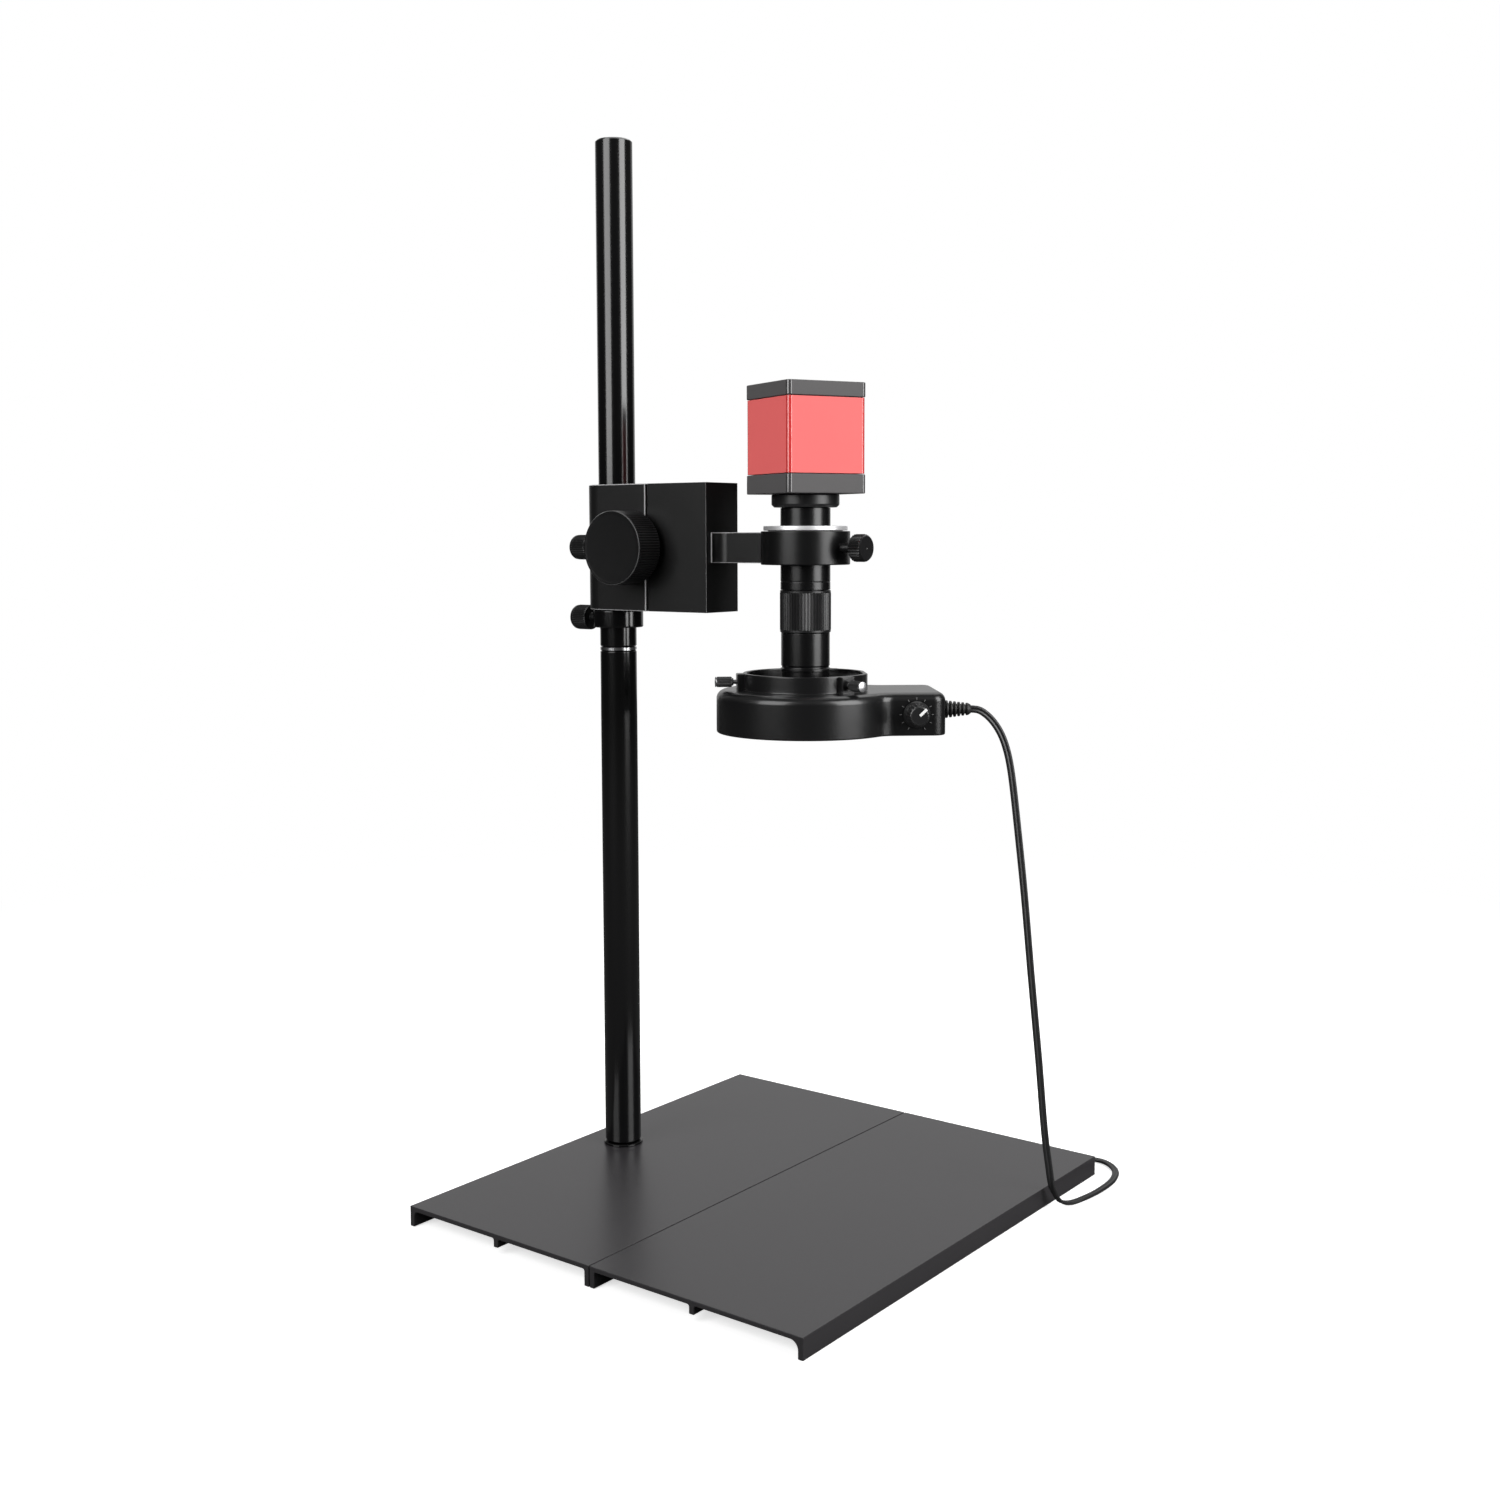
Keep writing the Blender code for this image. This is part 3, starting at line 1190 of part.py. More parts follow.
def make_housing(palette, axis):
    outline = light_outline()
    high = LIGHT_HEIGHT
    collar_high = high + LIGHT_COLLAR_HEIGHT
    ceiling = high - LIGHT_WALL
    rings = [at_height(outline, 0)]
    for k in range(4):
        turn = math.radians(90 * k / 3)
        smaller = LIGHT_SHOULDER * (1 - math.cos(turn))
        rings.append(at_height(light_outline(smaller), high - LIGHT_SHOULDER * (1 - math.sin(turn))))
    edge = 0.0005
    for radius, height in (
        (LIGHT_COLLAR_RADIUS + 0.0010, high),
        (LIGHT_COLLAR_RADIUS, high + 0.0010),
        (LIGHT_COLLAR_RADIUS, collar_high - edge),
        (LIGHT_COLLAR_RADIUS - edge, collar_high),
        (LIGHT_OPENING + edge, collar_high),
        (LIGHT_OPENING, collar_high - edge),
        (LIGHT_OPENING, 0.0015),
        (LIGHT_OPENING + 0.0018, 0.0015),
        (LIGHT_OPENING + 0.0018, ceiling),
    ):
        rings.append(round_with(outline, radius, height))
    inner = light_outline(LIGHT_WALL)
    slope = light_outline(LIGHT_WALL + LIGHT_SHOULDER * 0.6)
    rings.append(at_height(slope, ceiling))
    rings.append(at_height(inner, ceiling - LIGHT_SHOULDER * 0.6))
    rings.append(at_height(inner, 0))
    housing = loft("light_housing", rings, palette["plastic"], closed=True)
    hang_on(axis, housing)

    bosses = bmesh.new()
    for angle in boss_angles():
        block = bmesh.new()
        inside = LIGHT_COLLAR_RADIUS - 0.0012
        outside = LIGHT_COLLAR_RADIUS + BOSS_DEPTH
        section = [
            (inside, -BOSS_HALF_WIDTH),
            (outside - 0.0008, -BOSS_HALF_WIDTH),
            (outside, -BOSS_HALF_WIDTH + 0.0008),
            (outside, BOSS_HALF_WIDTH - 0.0008),
            (outside - 0.0008, BOSS_HALF_WIDTH),
            (inside, BOSS_HALF_WIDTH),
        ]
        low = high - 0.0010
        add_loft(block, [at_height(section, low), at_height(section, high + BOSS_HEIGHT)])
        block.transform(Matrix.Rotation(angle, 4, "Z"))
        merge_at(bosses, block, (0, 0, 0), (0, 0, 1))
    apply_tool(housing, tool_object("light_housing_bosses", bosses), "UNION")
    rods = []
    for angle in boss_angles():
        ray = Vector((math.cos(angle), math.sin(angle), 0))
        lift = Vector((0, 0, THUMB_LEVEL))
        start, end = ray * (LIGHT_OPENING - 0.003) + lift, ray * 0.042 + lift
        rods.append((start, end, THUMB_SHANK_RADIUS + SEAT_GAP))
    level = CONTROL_LEVEL
    wall, reach = -CONTROL_BOX_HALF_WIDTH, CONTROL_BOX_REACH
    dial_hole, boot_hole = 0.0035 + SEAT_GAP, 0.0038 + SEAT_GAP
    rods.append(((DIAL_ALONG, wall - 0.005, level), (DIAL_ALONG, wall + 0.006, level), dial_hole))
    rods.append(((reach - 0.006, 0, level), (reach + 0.005, 0, level), boot_hole))
    drill(housing, rods)


def cover_outline():
    """The control box's cover: the box's end inside its walls, closed by an arc beside the ring."""
    limit = LIGHT_RADIUS - 0.0005
    inside = light_outline(LIGHT_WALL + SEAT_GAP)
    box_end = [p for p in inside if p[0] > 0 and math.hypot(*p) > limit]
    box_end.sort(key=lambda p: math.atan2(p[1], p[0] - LIGHT_RADIUS))
    turn = math.degrees(math.atan2(box_end[-1][1], box_end[-1][0]))
    return box_end + arc((0, 0), limit, turn, -turn, 12)[1:-1]


def make_light_inside(palette, axis):
    inner = LIGHT_OPENING + 0.0018 + SEAT_GAP
    outer = LIGHT_RADIUS - LIGHT_WALL - SEAT_GAP
    low = LED_BOARD_LEVEL
    high = low + BOARD_THICKNESS
    outline = [(inner, low), (outer, low), (outer, high), (inner, high)]
    board = turned("led_board", outline, palette["white"], 32)
    lamps = bmesh.new()
    long, inside = low - 0.0016, 0.0008
    half = LED_HALF_WIDTH
    for radius, count in LED_ROWS:
        for k in range(count):
            turn = math.tau * k / count
            place = (radius * math.cos(turn), radius * math.sin(turn), low - long)
            lamp = bmesh.new()
            add_block(lamp, (-half, -half, 0), (half, half, long + inside))
            lamp.transform(Matrix.Rotation(turn, 4, "Z"))
            merge_at(lamps, lamp, place, (0, 0, 1))
    apply_tool(board, tool_object("led_board_lamps", lamps), "UNION")

    plate = prism("box_cover", cover_outline(), 0.0004, 0.0022, palette["plastic"])

    driver = rounded_rectangle(0.0160, 0.0260, 0.0008, 1)
    driver = [(x + CONTROL_BOX_REACH - 0.0140, y + 0.0060) for x, y in driver]
    base = 0.0022 + SEAT_GAP
    driver_board = prism("driver_board", driver, base, base + BOARD_THICKNESS, palette["board"])
    hang_on(axis, board, plate, driver_board)


def make_dial(palette, axis):
    wall = -CONTROL_BOX_HALF_WIDTH
    inside = wall + LIGHT_WALL + SEAT_GAP
    back = 0.0065
    pot = bmesh.new()
    count = 16
    stem = [
        circle(0.0050, count, -back),
        circle(0.0050, count, 0),
        circle(0.0033, count, 0),
        circle(0.0033, count, LIGHT_WALL + 0.0014),
        circle(0.0015, count, LIGHT_WALL + 0.0014),
        circle(0.0015, count, LIGHT_WALL + 0.0070),
    ]
    add_loft(pot, stem)
    body = finish("dial_potentiometer", pot, palette["steel"])
    aim(body, (DIAL_ALONG, inside, CONTROL_LEVEL), (0, -1, 0))

    count = 2 * DIAL_TEETH
    face = DIAL_LENGTH
    rings = [
        circle(0.0018, count, 0.0080),
        circle(0.0018, count, 0.0022),
        circle(0.0048, count, 0.0022),
        circle(0.0048, count, 0),
        circle(DIAL_SKIRT_RADIUS, count, 0),
        circle(DIAL_SKIRT_RADIUS - 0.0004, count, 0.0018),
        star(DIAL_RADIUS, KNURL_DEPTH, DIAL_TEETH, 0.0028),
        star(DIAL_RADIUS - 0.0003, KNURL_DEPTH, DIAL_TEETH, face - 0.0008),
        circle(DIAL_RADIUS - 0.0012, count, face),
    ]
    dial = loft("brightness_dial", rings, palette["plastic"])
    aim(dial, (DIAL_ALONG, wall - SEAT_GAP, CONTROL_LEVEL), (0, -1, 0))
    pointer = bmesh.new()
    add_block(pointer, (-0.0004, 0.0012, face - 0.0004), (0.0004, 0.0060, face + 0.01))
    pointer.transform(Matrix.Rotation(-DIAL_TURN, 4, "Z"))
    apply_tool(dial, tool_object("brightness_dial_pointer", pointer), "DIFFERENCE")
    hang_on(axis, body, dial)


def make_strain_relief(palette, axis):
    """A ribbed boot held in the end wall by a flange inside it."""
    wall = LIGHT_WALL
    outline = [(0, -wall - 0.0025), (0.0052, -wall - 0.0025), (0.0052, -wall - SEAT_GAP)]
    outline += [(0.0038, -wall - SEAT_GAP), (0.0038, SEAT_GAP), (0.0053, SEAT_GAP), (0.0053, 0.0022)]
    start, end = 0.0022, STRAIN_RELIEF_LENGTH
    step = (end - start) / STRAIN_RELIEF_RIBS
    for k in range(STRAIN_RELIEF_RIBS):
        share = k / (STRAIN_RELIEF_RIBS - 1)
        rib = 0.0048 - 0.0014 * share
        waist = 0.0035 - 0.0008 * share
        foot = start + k * step
        outline += [(waist, foot + 0.3 * step), (rib, foot + 0.5 * step), (rib, foot + 0.85 * step)]
    outline += [(waist, end), (0, end)]
    boot = turned("strain_relief", outline, palette["rubber"], 10)
    aim(boot, (CONTROL_BOX_REACH, 0, CONTROL_LEVEL), (1, 0, 0))
    hang_on(axis, boot)


def make_thumb_screws(palette, axis):
    tip = NOSE_RADIUS + SEAT_GAP
    for number, angle in enumerate(boss_angles(), 1):
        ray = Vector((math.cos(angle), math.sin(angle), 0))
        place = ray * THUMB_GRIP_NEAR + Vector((0, 0, THUMB_LEVEL))
        shank = THUMB_GRIP_NEAR - tip
        radius = THUMB_SHANK_RADIUS
        teeth = 8
        count = 2 * teeth
        rim = THUMB_GRIP_RADIUS - 0.0003
        end = THUMB_GRIP_LENGTH
        rings = [
            circle(radius - 0.0004, count, -shank),
            circle(radius, count, -shank + 0.0004),
            circle(radius, count, 0),
            circle(rim, count, 0),
            star(THUMB_GRIP_RADIUS, 0.00025, teeth, 0.0004),
            star(THUMB_GRIP_RADIUS, 0.00025, teeth, end - 0.0004),
            circle(rim, count, end),
            circle(0.0022, count, end),
            circle(0.0022, count, end + 0.0006),
            circle(0.0016, count, end + 0.0010),
        ]
        screw = loft(f"thumb_screw_{number}", rings, palette["steel"])
        aim(screw, place, ray)
        hang_on(axis, screw)


def make_light(palette):
    axis = make_axis("light_axis", (0, LENS_Y, LIGHT_Z), LIGHT_TURN)
    make_housing(palette, axis)
    make_light_inside(palette, axis)
    make_dial(palette, axis)
    make_strain_relief(palette, axis)
    make_thumb_screws(palette, axis)


# Light cord
# The stretch that hangs from the boot, and the stretch that lies on the surface
HANGING_ROUTE = (
    (0.0565, -0.0994, 0.27625),
    (0.0591, -0.1025, 0.27595),
    (0.0613, -0.1051, 0.27435),
    (0.0636, -0.1078, 0.27135),
    (0.0657, -0.1104, 0.26725),
    (0.0676, -0.1126, 0.26225),
    (0.0691, -0.1144, 0.25625),
    (0.0704, -0.1161, 0.24800),
    (0.0716, -0.1178, 0.23500),
    (0.0732, -0.1203, 0.21000),
    (0.0748, -0.1238, 0.17500),
    (0.0760, -0.1280, 0.13000),
    (0.0771, -0.1325, 0.08500),
    (0.0783, -0.1360, 0.04500),
    (0.0803, -0.1388, 0.01900),
)
LAID_ROUTE = (
    (0.0804, -0.1389, 0.0184),
    (0.0816, -0.1398, 0.0120),
    (0.0862, -0.1416, 0.0046),
    (0.0940, -0.1440, 0.0023),
    (0.1060, -0.1468, 0.0023),
    (0.1220, -0.1484, 0.0023),
    (0.1400, -0.1474, 0.0023),
    (0.1550, -0.1418, 0.0023),
    (0.1640, -0.1310, 0.0023),
    (0.1634, -0.1190, 0.0023),
    (0.1585, -0.1080, 0.0023),
    (0.1500, -0.0985, 0.0023),
    (0.1430, -0.0918, 0.0023),
    (0.1372, -0.0872, 0.0023),
)


def smooth_route(points, count):
    """Points spread evenly along a smooth curve through the route's own points."""
    places = [Vector(p) for p in points]
    ends = [2 * places[0] - places[1], *places, 2 * places[-1] - places[-2]]
    fine = []
    for before, start, end, after in zip(ends, ends[1:], ends[2:], ends[3:]):
        for k in range(12):
            t = k / 12
            fine.append(
                0.5
                * (
                    2 * start
                    + (end - before) * t
                    + (2 * before - 5 * start + 4 * end - after) * t**2
                    + (3 * start - before - 3 * end + after) * t**3
                )
            )
    fine.append(places[-1])
    along = [0.0]
    for start, end in zip(fine, fine[1:]):
        along.append(along[-1] + (end - start).length)
    spaced, place = [], 0
    for k in range(count):
        wanted = along[-1] * k / (count - 1)
        while place < len(along) - 2 and along[place + 1] < wanted:
            place += 1
        share = (wanted - along[place]) / (along[place + 1] - along[place])
        spaced.append(fine[place].lerp(fine[place + 1], share))
    return spaced


def make_cord_stretch(name, route, count, palette):
    curve = bpy.data.curves.new(name, "CURVE")
    curve.dimensions = "3D"
    curve.bevel_depth = CORD_DIAMETER / 2
    curve.bevel_resolution = 1
    curve.use_fill_caps = True
    line = curve.splines.new("POLY")
    line.points.add(count - 1)
    for point, place in zip(line.points, smooth_route(route, count)):
        point.co = (*place, 1)
    curve.materials.append(palette["rubber"])
    stretch = bpy.data.objects.new(name, curve)
    bpy.context.collection.objects.link(stretch)


def make_cord(palette):
    make_cord_stretch("light_cord", HANGING_ROUTE, 26, palette)
    make_cord_stretch("light_cord_laid", LAID_ROUTE, 26, palette)

    edge = 0.0012
    outline = [
        (COIL_INNER, edge),
        (COIL_INNER + edge, 0),
        (COIL_OUTER - edge, 0),
        (COIL_OUTER, edge),
        (COIL_OUTER, COIL_HEIGHT - edge),
        (COIL_OUTER - edge, COIL_HEIGHT),
        (COIL_INNER + edge, COIL_HEIGHT),
        (COIL_INNER, COIL_HEIGHT - edge),
    ]
    coil = turned("cord_coil", outline, palette["rubber"], 24)
    coil.location = (*COIL_PLACE, COIL_FLOOR)

    grip = rounded_rectangle(PLUG_LENGTH, PLUG_WIDTH, 0.0015, 2)
    plug = prism("plug_grip", grip, 0, PLUG_HEIGHT, palette["rubber"], 0.0008)
    plug.location = (*PLUG_PLACE, COIL_FLOOR)
    level = PLUG_HEIGHT / 2
    root, tip = PLUG_LENGTH / 2 - 0.002, PLUG_LENGTH / 2 + PLUG_NECK_LENGTH
    neck = bmesh.new()
    add_rod(neck, (root, 0, level), (tip, 0, level), PLUG_NECK_RADIUS, 14)
    apply_tool(plug, tool_object("plug_grip_neck", neck), "UNION")
    shell_low, shell_high = level - 0.00225, level + 0.00225
    start = -PLUG_LENGTH / 2 - SEAT_GAP
    shell = bmesh.new()
    outer = ((-0.006, shell_low), (0.006, shell_low), (0.006, shell_high), (-0.006, shell_high))
    inner = inset(outer, 0.0004)
    rings = [
        [Vector((start, y, z)) for y, z in outer],
        [Vector((start - PLUG_SHELL_LENGTH, y, z)) for y, z in outer],
        [Vector((start - PLUG_SHELL_LENGTH, y, z)) for y, z in inner],
        [Vector((start - 0.002, y, z)) for y, z in inner],
    ]
    add_loft(shell, rings)
    contact = finish("plug_shell", shell, palette["steel"])
    contact.location = (*PLUG_PLACE, COIL_FLOOR)


def make_microscope():
    clear_scene()
    palette = make_palette()
    make_base(palette)
    make_post(palette)
    make_collar(palette)
    make_clamp(palette)
    make_carriage(palette)
    make_rack(palette)
    make_focus_shaft(palette)
    make_ring_arm(palette)
    make_lens(palette)
    make_head(palette)
    make_light(palette)
    make_cord(palette)


make_microscope()
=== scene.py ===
import math

import bmesh
import bpy
from mathutils import Matrix, Vector


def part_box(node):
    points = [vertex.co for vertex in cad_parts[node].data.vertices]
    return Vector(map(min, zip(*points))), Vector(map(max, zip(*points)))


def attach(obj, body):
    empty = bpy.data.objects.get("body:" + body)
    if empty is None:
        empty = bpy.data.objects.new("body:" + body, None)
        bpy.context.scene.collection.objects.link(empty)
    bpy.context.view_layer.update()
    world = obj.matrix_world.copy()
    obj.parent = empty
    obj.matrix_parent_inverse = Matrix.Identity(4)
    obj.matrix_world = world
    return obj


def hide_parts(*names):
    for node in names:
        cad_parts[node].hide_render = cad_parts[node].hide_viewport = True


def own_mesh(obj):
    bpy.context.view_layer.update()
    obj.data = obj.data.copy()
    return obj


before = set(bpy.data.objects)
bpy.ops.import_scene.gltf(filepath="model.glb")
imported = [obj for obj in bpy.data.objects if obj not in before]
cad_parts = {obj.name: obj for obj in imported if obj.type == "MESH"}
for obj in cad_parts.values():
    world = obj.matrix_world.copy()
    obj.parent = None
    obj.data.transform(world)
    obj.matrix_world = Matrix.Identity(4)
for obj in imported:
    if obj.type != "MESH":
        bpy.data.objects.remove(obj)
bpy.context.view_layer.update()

# Camera
# A plain camera a little above the lens, off the stand's left front corner. It stands about a
# metre away, and its lens is shifted down so that the post stays upright in the picture.
CAMERA_PLACE = (-0.76215, -0.57662, 0.37024)
CAMERA_YAW = 0.9183
CAMERA_PITCH = -0.0942
CAMERA_ROLL = -0.0029
CAMERA_LENS = 42.25
CAMERA_SHIFT = -0.0333

camera = bpy.data.objects.new("camera", bpy.data.cameras.new("camera"))
bpy.context.collection.objects.link(camera)
camera.data.sensor_width = 36
camera.data.lens = CAMERA_LENS
camera.data.shift_y = CAMERA_SHIFT
camera.data.clip_start = 0.05
camera.data.clip_end = 60
ahead = Vector((math.sin(CAMERA_YAW), math.cos(CAMERA_YAW), 0))
forward = ahead * math.cos(CAMERA_PITCH) + Vector((0, 0, math.sin(CAMERA_PITCH)))
level = Vector((ahead.y, -ahead.x, 0))
above = level.cross(forward)
right = level * math.cos(CAMERA_ROLL) + above * math.sin(CAMERA_ROLL)
up = above * math.cos(CAMERA_ROLL) - level * math.sin(CAMERA_ROLL)
turn = Matrix((right, up, -forward)).transposed().to_4x4()
camera.matrix_world = Matrix.Translation(CAMERA_PLACE) @ turn
bpy.context.scene.camera = camera
bpy.context.scene.view_settings.view_transform = "Standard"

# Light cord
# A flat twin lead of soft black plastic, 1.5 m long, moulded as two round wires side by side. It
# hangs from the ring light's boot, lies round the base's corner and is coiled under the base.
CORD_WIDTH = 0.0040
CORD_WIRE = 0.00102  # radius of each of the two wires
ROUTE_STEP = 0.002
SAME_PLACE = 0.000001  # points closer than this are one
HANGING_SIDE = Vector((0.766, 0.643, 0))  # the flat side's way where the lead hangs
TURN_FROM, TURN_TO = 0.030, 0.006  # heights between which the lead turns from that side to flat
HANGING_ROUTE = (
    (0.0565, -0.0994, 0.27625),
    (0.0591, -0.1025, 0.27595),
    (0.0613, -0.1051, 0.27435),
    (0.0636, -0.1078, 0.27135),
    (0.0657, -0.1104, 0.26725),
    (0.0676, -0.1126, 0.26225),
    (0.0691, -0.1144, 0.25625),
    (0.0704, -0.1161, 0.24800),
    (0.0716, -0.1178, 0.23500),
    (0.0732, -0.1203, 0.21000),
    (0.0748, -0.1238, 0.17500),
    (0.0760, -0.1280, 0.13000),
    (0.0771, -0.1325, 0.08500),
    (0.0783, -0.1360, 0.04500),
    (0.0803, -0.1388, 0.01900),
)
LAID_ROUTE = (
    (0.0803, -0.1388, 0.0190),
    (0.0816, -0.1398, 0.0120),
    (0.0862, -0.1416, 0.0046),
    (0.0940, -0.1440, 0.0015),
    (0.1060, -0.1468, 0.0012),
    (0.1220, -0.1484, 0.0012),
    (0.1400, -0.1474, 0.0012),
    (0.1550, -0.1418, 0.0012),
    (0.1640, -0.1310, 0.0012),
    (0.1634, -0.1190, 0.0012),
    (0.1585, -0.1080, 0.0012),
    (0.1500, -0.0985, 0.0012),
    (0.1400, -0.0893, 0.0013),
    (0.1310, -0.0832, 0.0014),
)
COIL_MIDDLE = Vector((0.1110, -0.1010, 0))
COIL_OUTER = 0.0254
COIL_BAND = 0.0094
COIL_START = math.radians(60)
COIL_TURNS = 8 + 60 / 360
COIL_LAYERS = 4
COIL_FLOOR = 0.00140
COIL_STEP = 0.00195
CLIMB_START = 0.85  # share of a layer after which the lead climbs to the next
TURN_STEPS = 42
COAT_ROUGHNESS = 0.12  # of a clear coat, where what it covers isn't smoother
PLUG_ROUTE = (
    (0.0940, -0.0815, 0.0068),
    (0.0895, -0.0838, 0.0055),
    (0.0850, -0.0855, 0.0042),
    (0.0810, -0.0860, 0.0039),
)


def smooth_route(points):
    """Points about a step apart along a smooth curve through the route's own points."""
    places = [Vector(p) for p in points]
    ends = [2 * places[0] - places[1], *places, 2 * places[-1] - places[-2]]
    line = []
    for before, start, end, after in zip(ends, ends[1:], ends[2:], ends[3:]):
        count = max(2, round((end - start).length / ROUTE_STEP))
        for k in range(count):
            t = k / count
            once = (end - before) * t
            squared = (2 * before - 5 * start + 4 * end - after) * t**2
            cubed = (3 * start - before - 3 * end + after) * t**3
            line.append(0.5 * (2 * start + once + squared + cubed))
    line.append(places[-1])
    return line


def ease(t):
    t = min(max(t, 0), 1)
    return t * t * (3 - 2 * t)


def coil_line():
    """The coil: two turns in each layer, inwards and outwards by turns, layer on layer."""
    line = []
    for k in range(round(COIL_TURNS * TURN_STEPS) + 1):
        turns = k / TURN_STEPS
        layer = int(turns / 2)
        share = turns / 2 - layer
        across = share if layer % 2 == 0 else 1 - share
        radius = COIL_OUTER - COIL_BAND * across
        if layer == COIL_LAYERS:
            radius = COIL_OUTER
        climb = min(layer + ease((share - CLIMB_START) / (1 - CLIMB_START)), COIL_LAYERS - 1)
        height = COIL_FLOOR + COIL_STEP * climb
        angle = COIL_START + math.tau * turns
        offset = Vector((radius * math.cos(angle), radius * math.sin(angle), height))
        line.append(COIL_MIDDLE + offset)
    return line


def new_piece(name, bm, smooth_below=35):
    """A shown piece from a bmesh, faces outwards, smooth where it is round."""
    bmesh.ops.recalc_face_normals(bm, faces=bm.faces)
    mesh = bpy.data.meshes.new(name)
    bm.to_mesh(mesh)
    bm.free()
    mesh.shade_smooth()
    mesh.set_sharp_from_angle(angle=math.radians(smooth_below))
    piece = bpy.data.objects.new(name, mesh)
    bpy.context.collection.objects.link(piece)
    return piece


def skin(bm, rings, closed=False):
    """Faces over a row of rings with the same number of points. Both ends are capped, or joined."""
    made = [[bm.verts.new(p) for p in ring] for ring in rings]
    pairs = list(zip(made, made[1:]))
    if closed:
        pairs.append((made[-1], made[0]))
    for low, high in pairs:
        for k in range(len(low)):
            after = (k + 1) % len(low)
            bm.faces.new((low[k], low[after], high[after], high[k]))
    if not closed:
        bm.faces.new(made[0])
        bm.faces.new(made[-1])


def twin_section():
    """The lead in section: two round wires that run into each other at the web between them."""
    middle = CORD_WIDTH / 2 - CORD_WIRE
    points = []
    for side, start in ((1, -150), (-1, 30)):
        for k in range(9):
            angle = math.radians(start + 300 * k / 8)
            across = side * middle + CORD_WIRE * math.cos(angle)
            points.append((across, CORD_WIRE * math.sin(angle)))
    return points


def lead(name, line):
    """The twin lead along a line, its flat side turned down where it lies."""
    section = twin_section()
    rings = []
    for k, place in enumerate(line):
        before, after = line[max(k - 1, 0)], line[min(k + 1, len(line) - 1)]
        along = (after - before).normalized()
        turned_down = ease((TURN_FROM - place.z) / (TURN_FROM - TURN_TO))
        thin = HANGING_SIDE.lerp(Vector((0, 0, 1)), turned_down)
        wide = along.cross(thin).normalized()
        thin = wide.cross(along)
        rings.append([place + wide * x + thin * y for x, y in section])
    bm = bmesh.new()
    skin(bm, rings)
    return new_piece(name, bm, 60)


def node_kit(tree):
    """Two functions for a node tree. One adds a node and sets its sockets, one joins two nodes."""

    def add(kind, operation=None, **sockets):
        node = tree.nodes.new(kind)
        if operation is not None:
            node.operation = operation
        for socket, value in sockets.items():
            node.inputs[socket.replace("_", " ")].default_value = value
        return node

    def join(start, output, end, entry):
        tree.links.new(start.outputs[output], end.inputs[entry])

    return add, join


def new_material(name):
    """A new material, its shader, and the two functions for its nodes."""
    material = bpy.data.materials.new(name)
    material.use_nodes = True
    return material, material.node_tree.nodes["Principled BSDF"], *node_kit(material.node_tree)


def coated(
    name, colour, roughness, metallic=0.0, grain=0.0002, depth=0.15, mottle=0.08, coat=0.0, shine=0.5
):
    """A coloured surface with a fine grain of a given size, and slow changes of gloss and tone."""
    material, shader, add, join = new_material(name)
    place = add("ShaderNodeTexCoord")
    slow = add("ShaderNodeTexNoise", Scale=28.0, Detail=3.0, Roughness=0.55)
    fine = add("ShaderNodeTexNoise", Scale=1.0 / grain, Detail=2.0, Roughness=0.6)
    join(place, "Object", slow, "Vector")
    join(place, "Object", fine, "Vector")
    least, most = roughness * (1 - mottle), roughness * (1 + mottle)
    gloss = add("ShaderNodeMapRange", To_Min=least, To_Max=most)
    join(slow, "Fac", gloss, "Value")
    join(gloss, "Result", shader, "Roughness")
    tone = add("ShaderNodeMix")
    tone.data_type = "RGBA"
    tone.inputs["A"].default_value = (*[c * (1 - mottle) for c in colour], 1)
    tone.inputs["B"].default_value = (*[min(c * (1 + mottle), 1) for c in colour], 1)
    join(slow, "Fac", tone, "Factor")
    join(tone, "Result", shader, "Base Color")
    bump = add("ShaderNodeBump", Strength=depth, Distance=grain * 0.25)
    join(fine, "Fac", bump, "Height")
    join(bump, "Normal", shader, "Normal")
    shader.inputs["Metallic"].default_value = metallic
    shader.inputs["Specular IOR Level"].default_value = shine
    shader.inputs["Coat Weight"].default_value = coat
    shader.inputs["Coat Roughness"].default_value = min(COAT_ROUGHNESS, roughness)
    return material


def dress(piece, material):
    piece.data.materials.clear()
    piece.data.materials.append(material)


def cad_dress(material, slot, *nodes):
    """The same for nodes that keep their CAD shape."""
    for node in nodes:
        dress(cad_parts[node], material)


def fit(piece, material, slot, body, *nodes):
    """Dresses a piece, and says what body carries it and which plain solids it stands for."""
    dress(piece, material)
    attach(piece, body)
    if nodes:
        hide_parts(*nodes)


cord_black = coated("cord plastic", (0.010, 0.010, 0.0105), 0.38, grain=0.0006, depth=0.1)
hanging_line = smooth_route(HANGING_ROUTE)
coil = coil_line()
laid_line = smooth_route((*LAID_ROUTE, coil[0])) + coil[1:-1]
laid_line += smooth_route((coil[-1], *PLUG_ROUTE))
hanging_lead = lead("hanging_lead", hanging_line)
laid_lead = lead("laid_lead", laid_line)
fit(hanging_lead, cord_black, "black_rubber", "ring_light", "light_cord")
fit(laid_lead, cord_black, "black_rubber", "stand", "light_cord_laid", "cord_coil")
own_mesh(hanging_lead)

# Coil tie
# A black plastic-coated wire, passed twice round the coil.
TIE_ANGLE = math.radians(205)
TIE_WIRE = 0.00036
TIE_APART = 0.0008
TIE_MIDDLE = 0.0043
TIE_ACROSS = 0.0063
TIE_RISE = 0.0037
TIE_SQUARENESS = 0.6  # 1 would make the loop an ellipse, less makes it a rounded rectangle


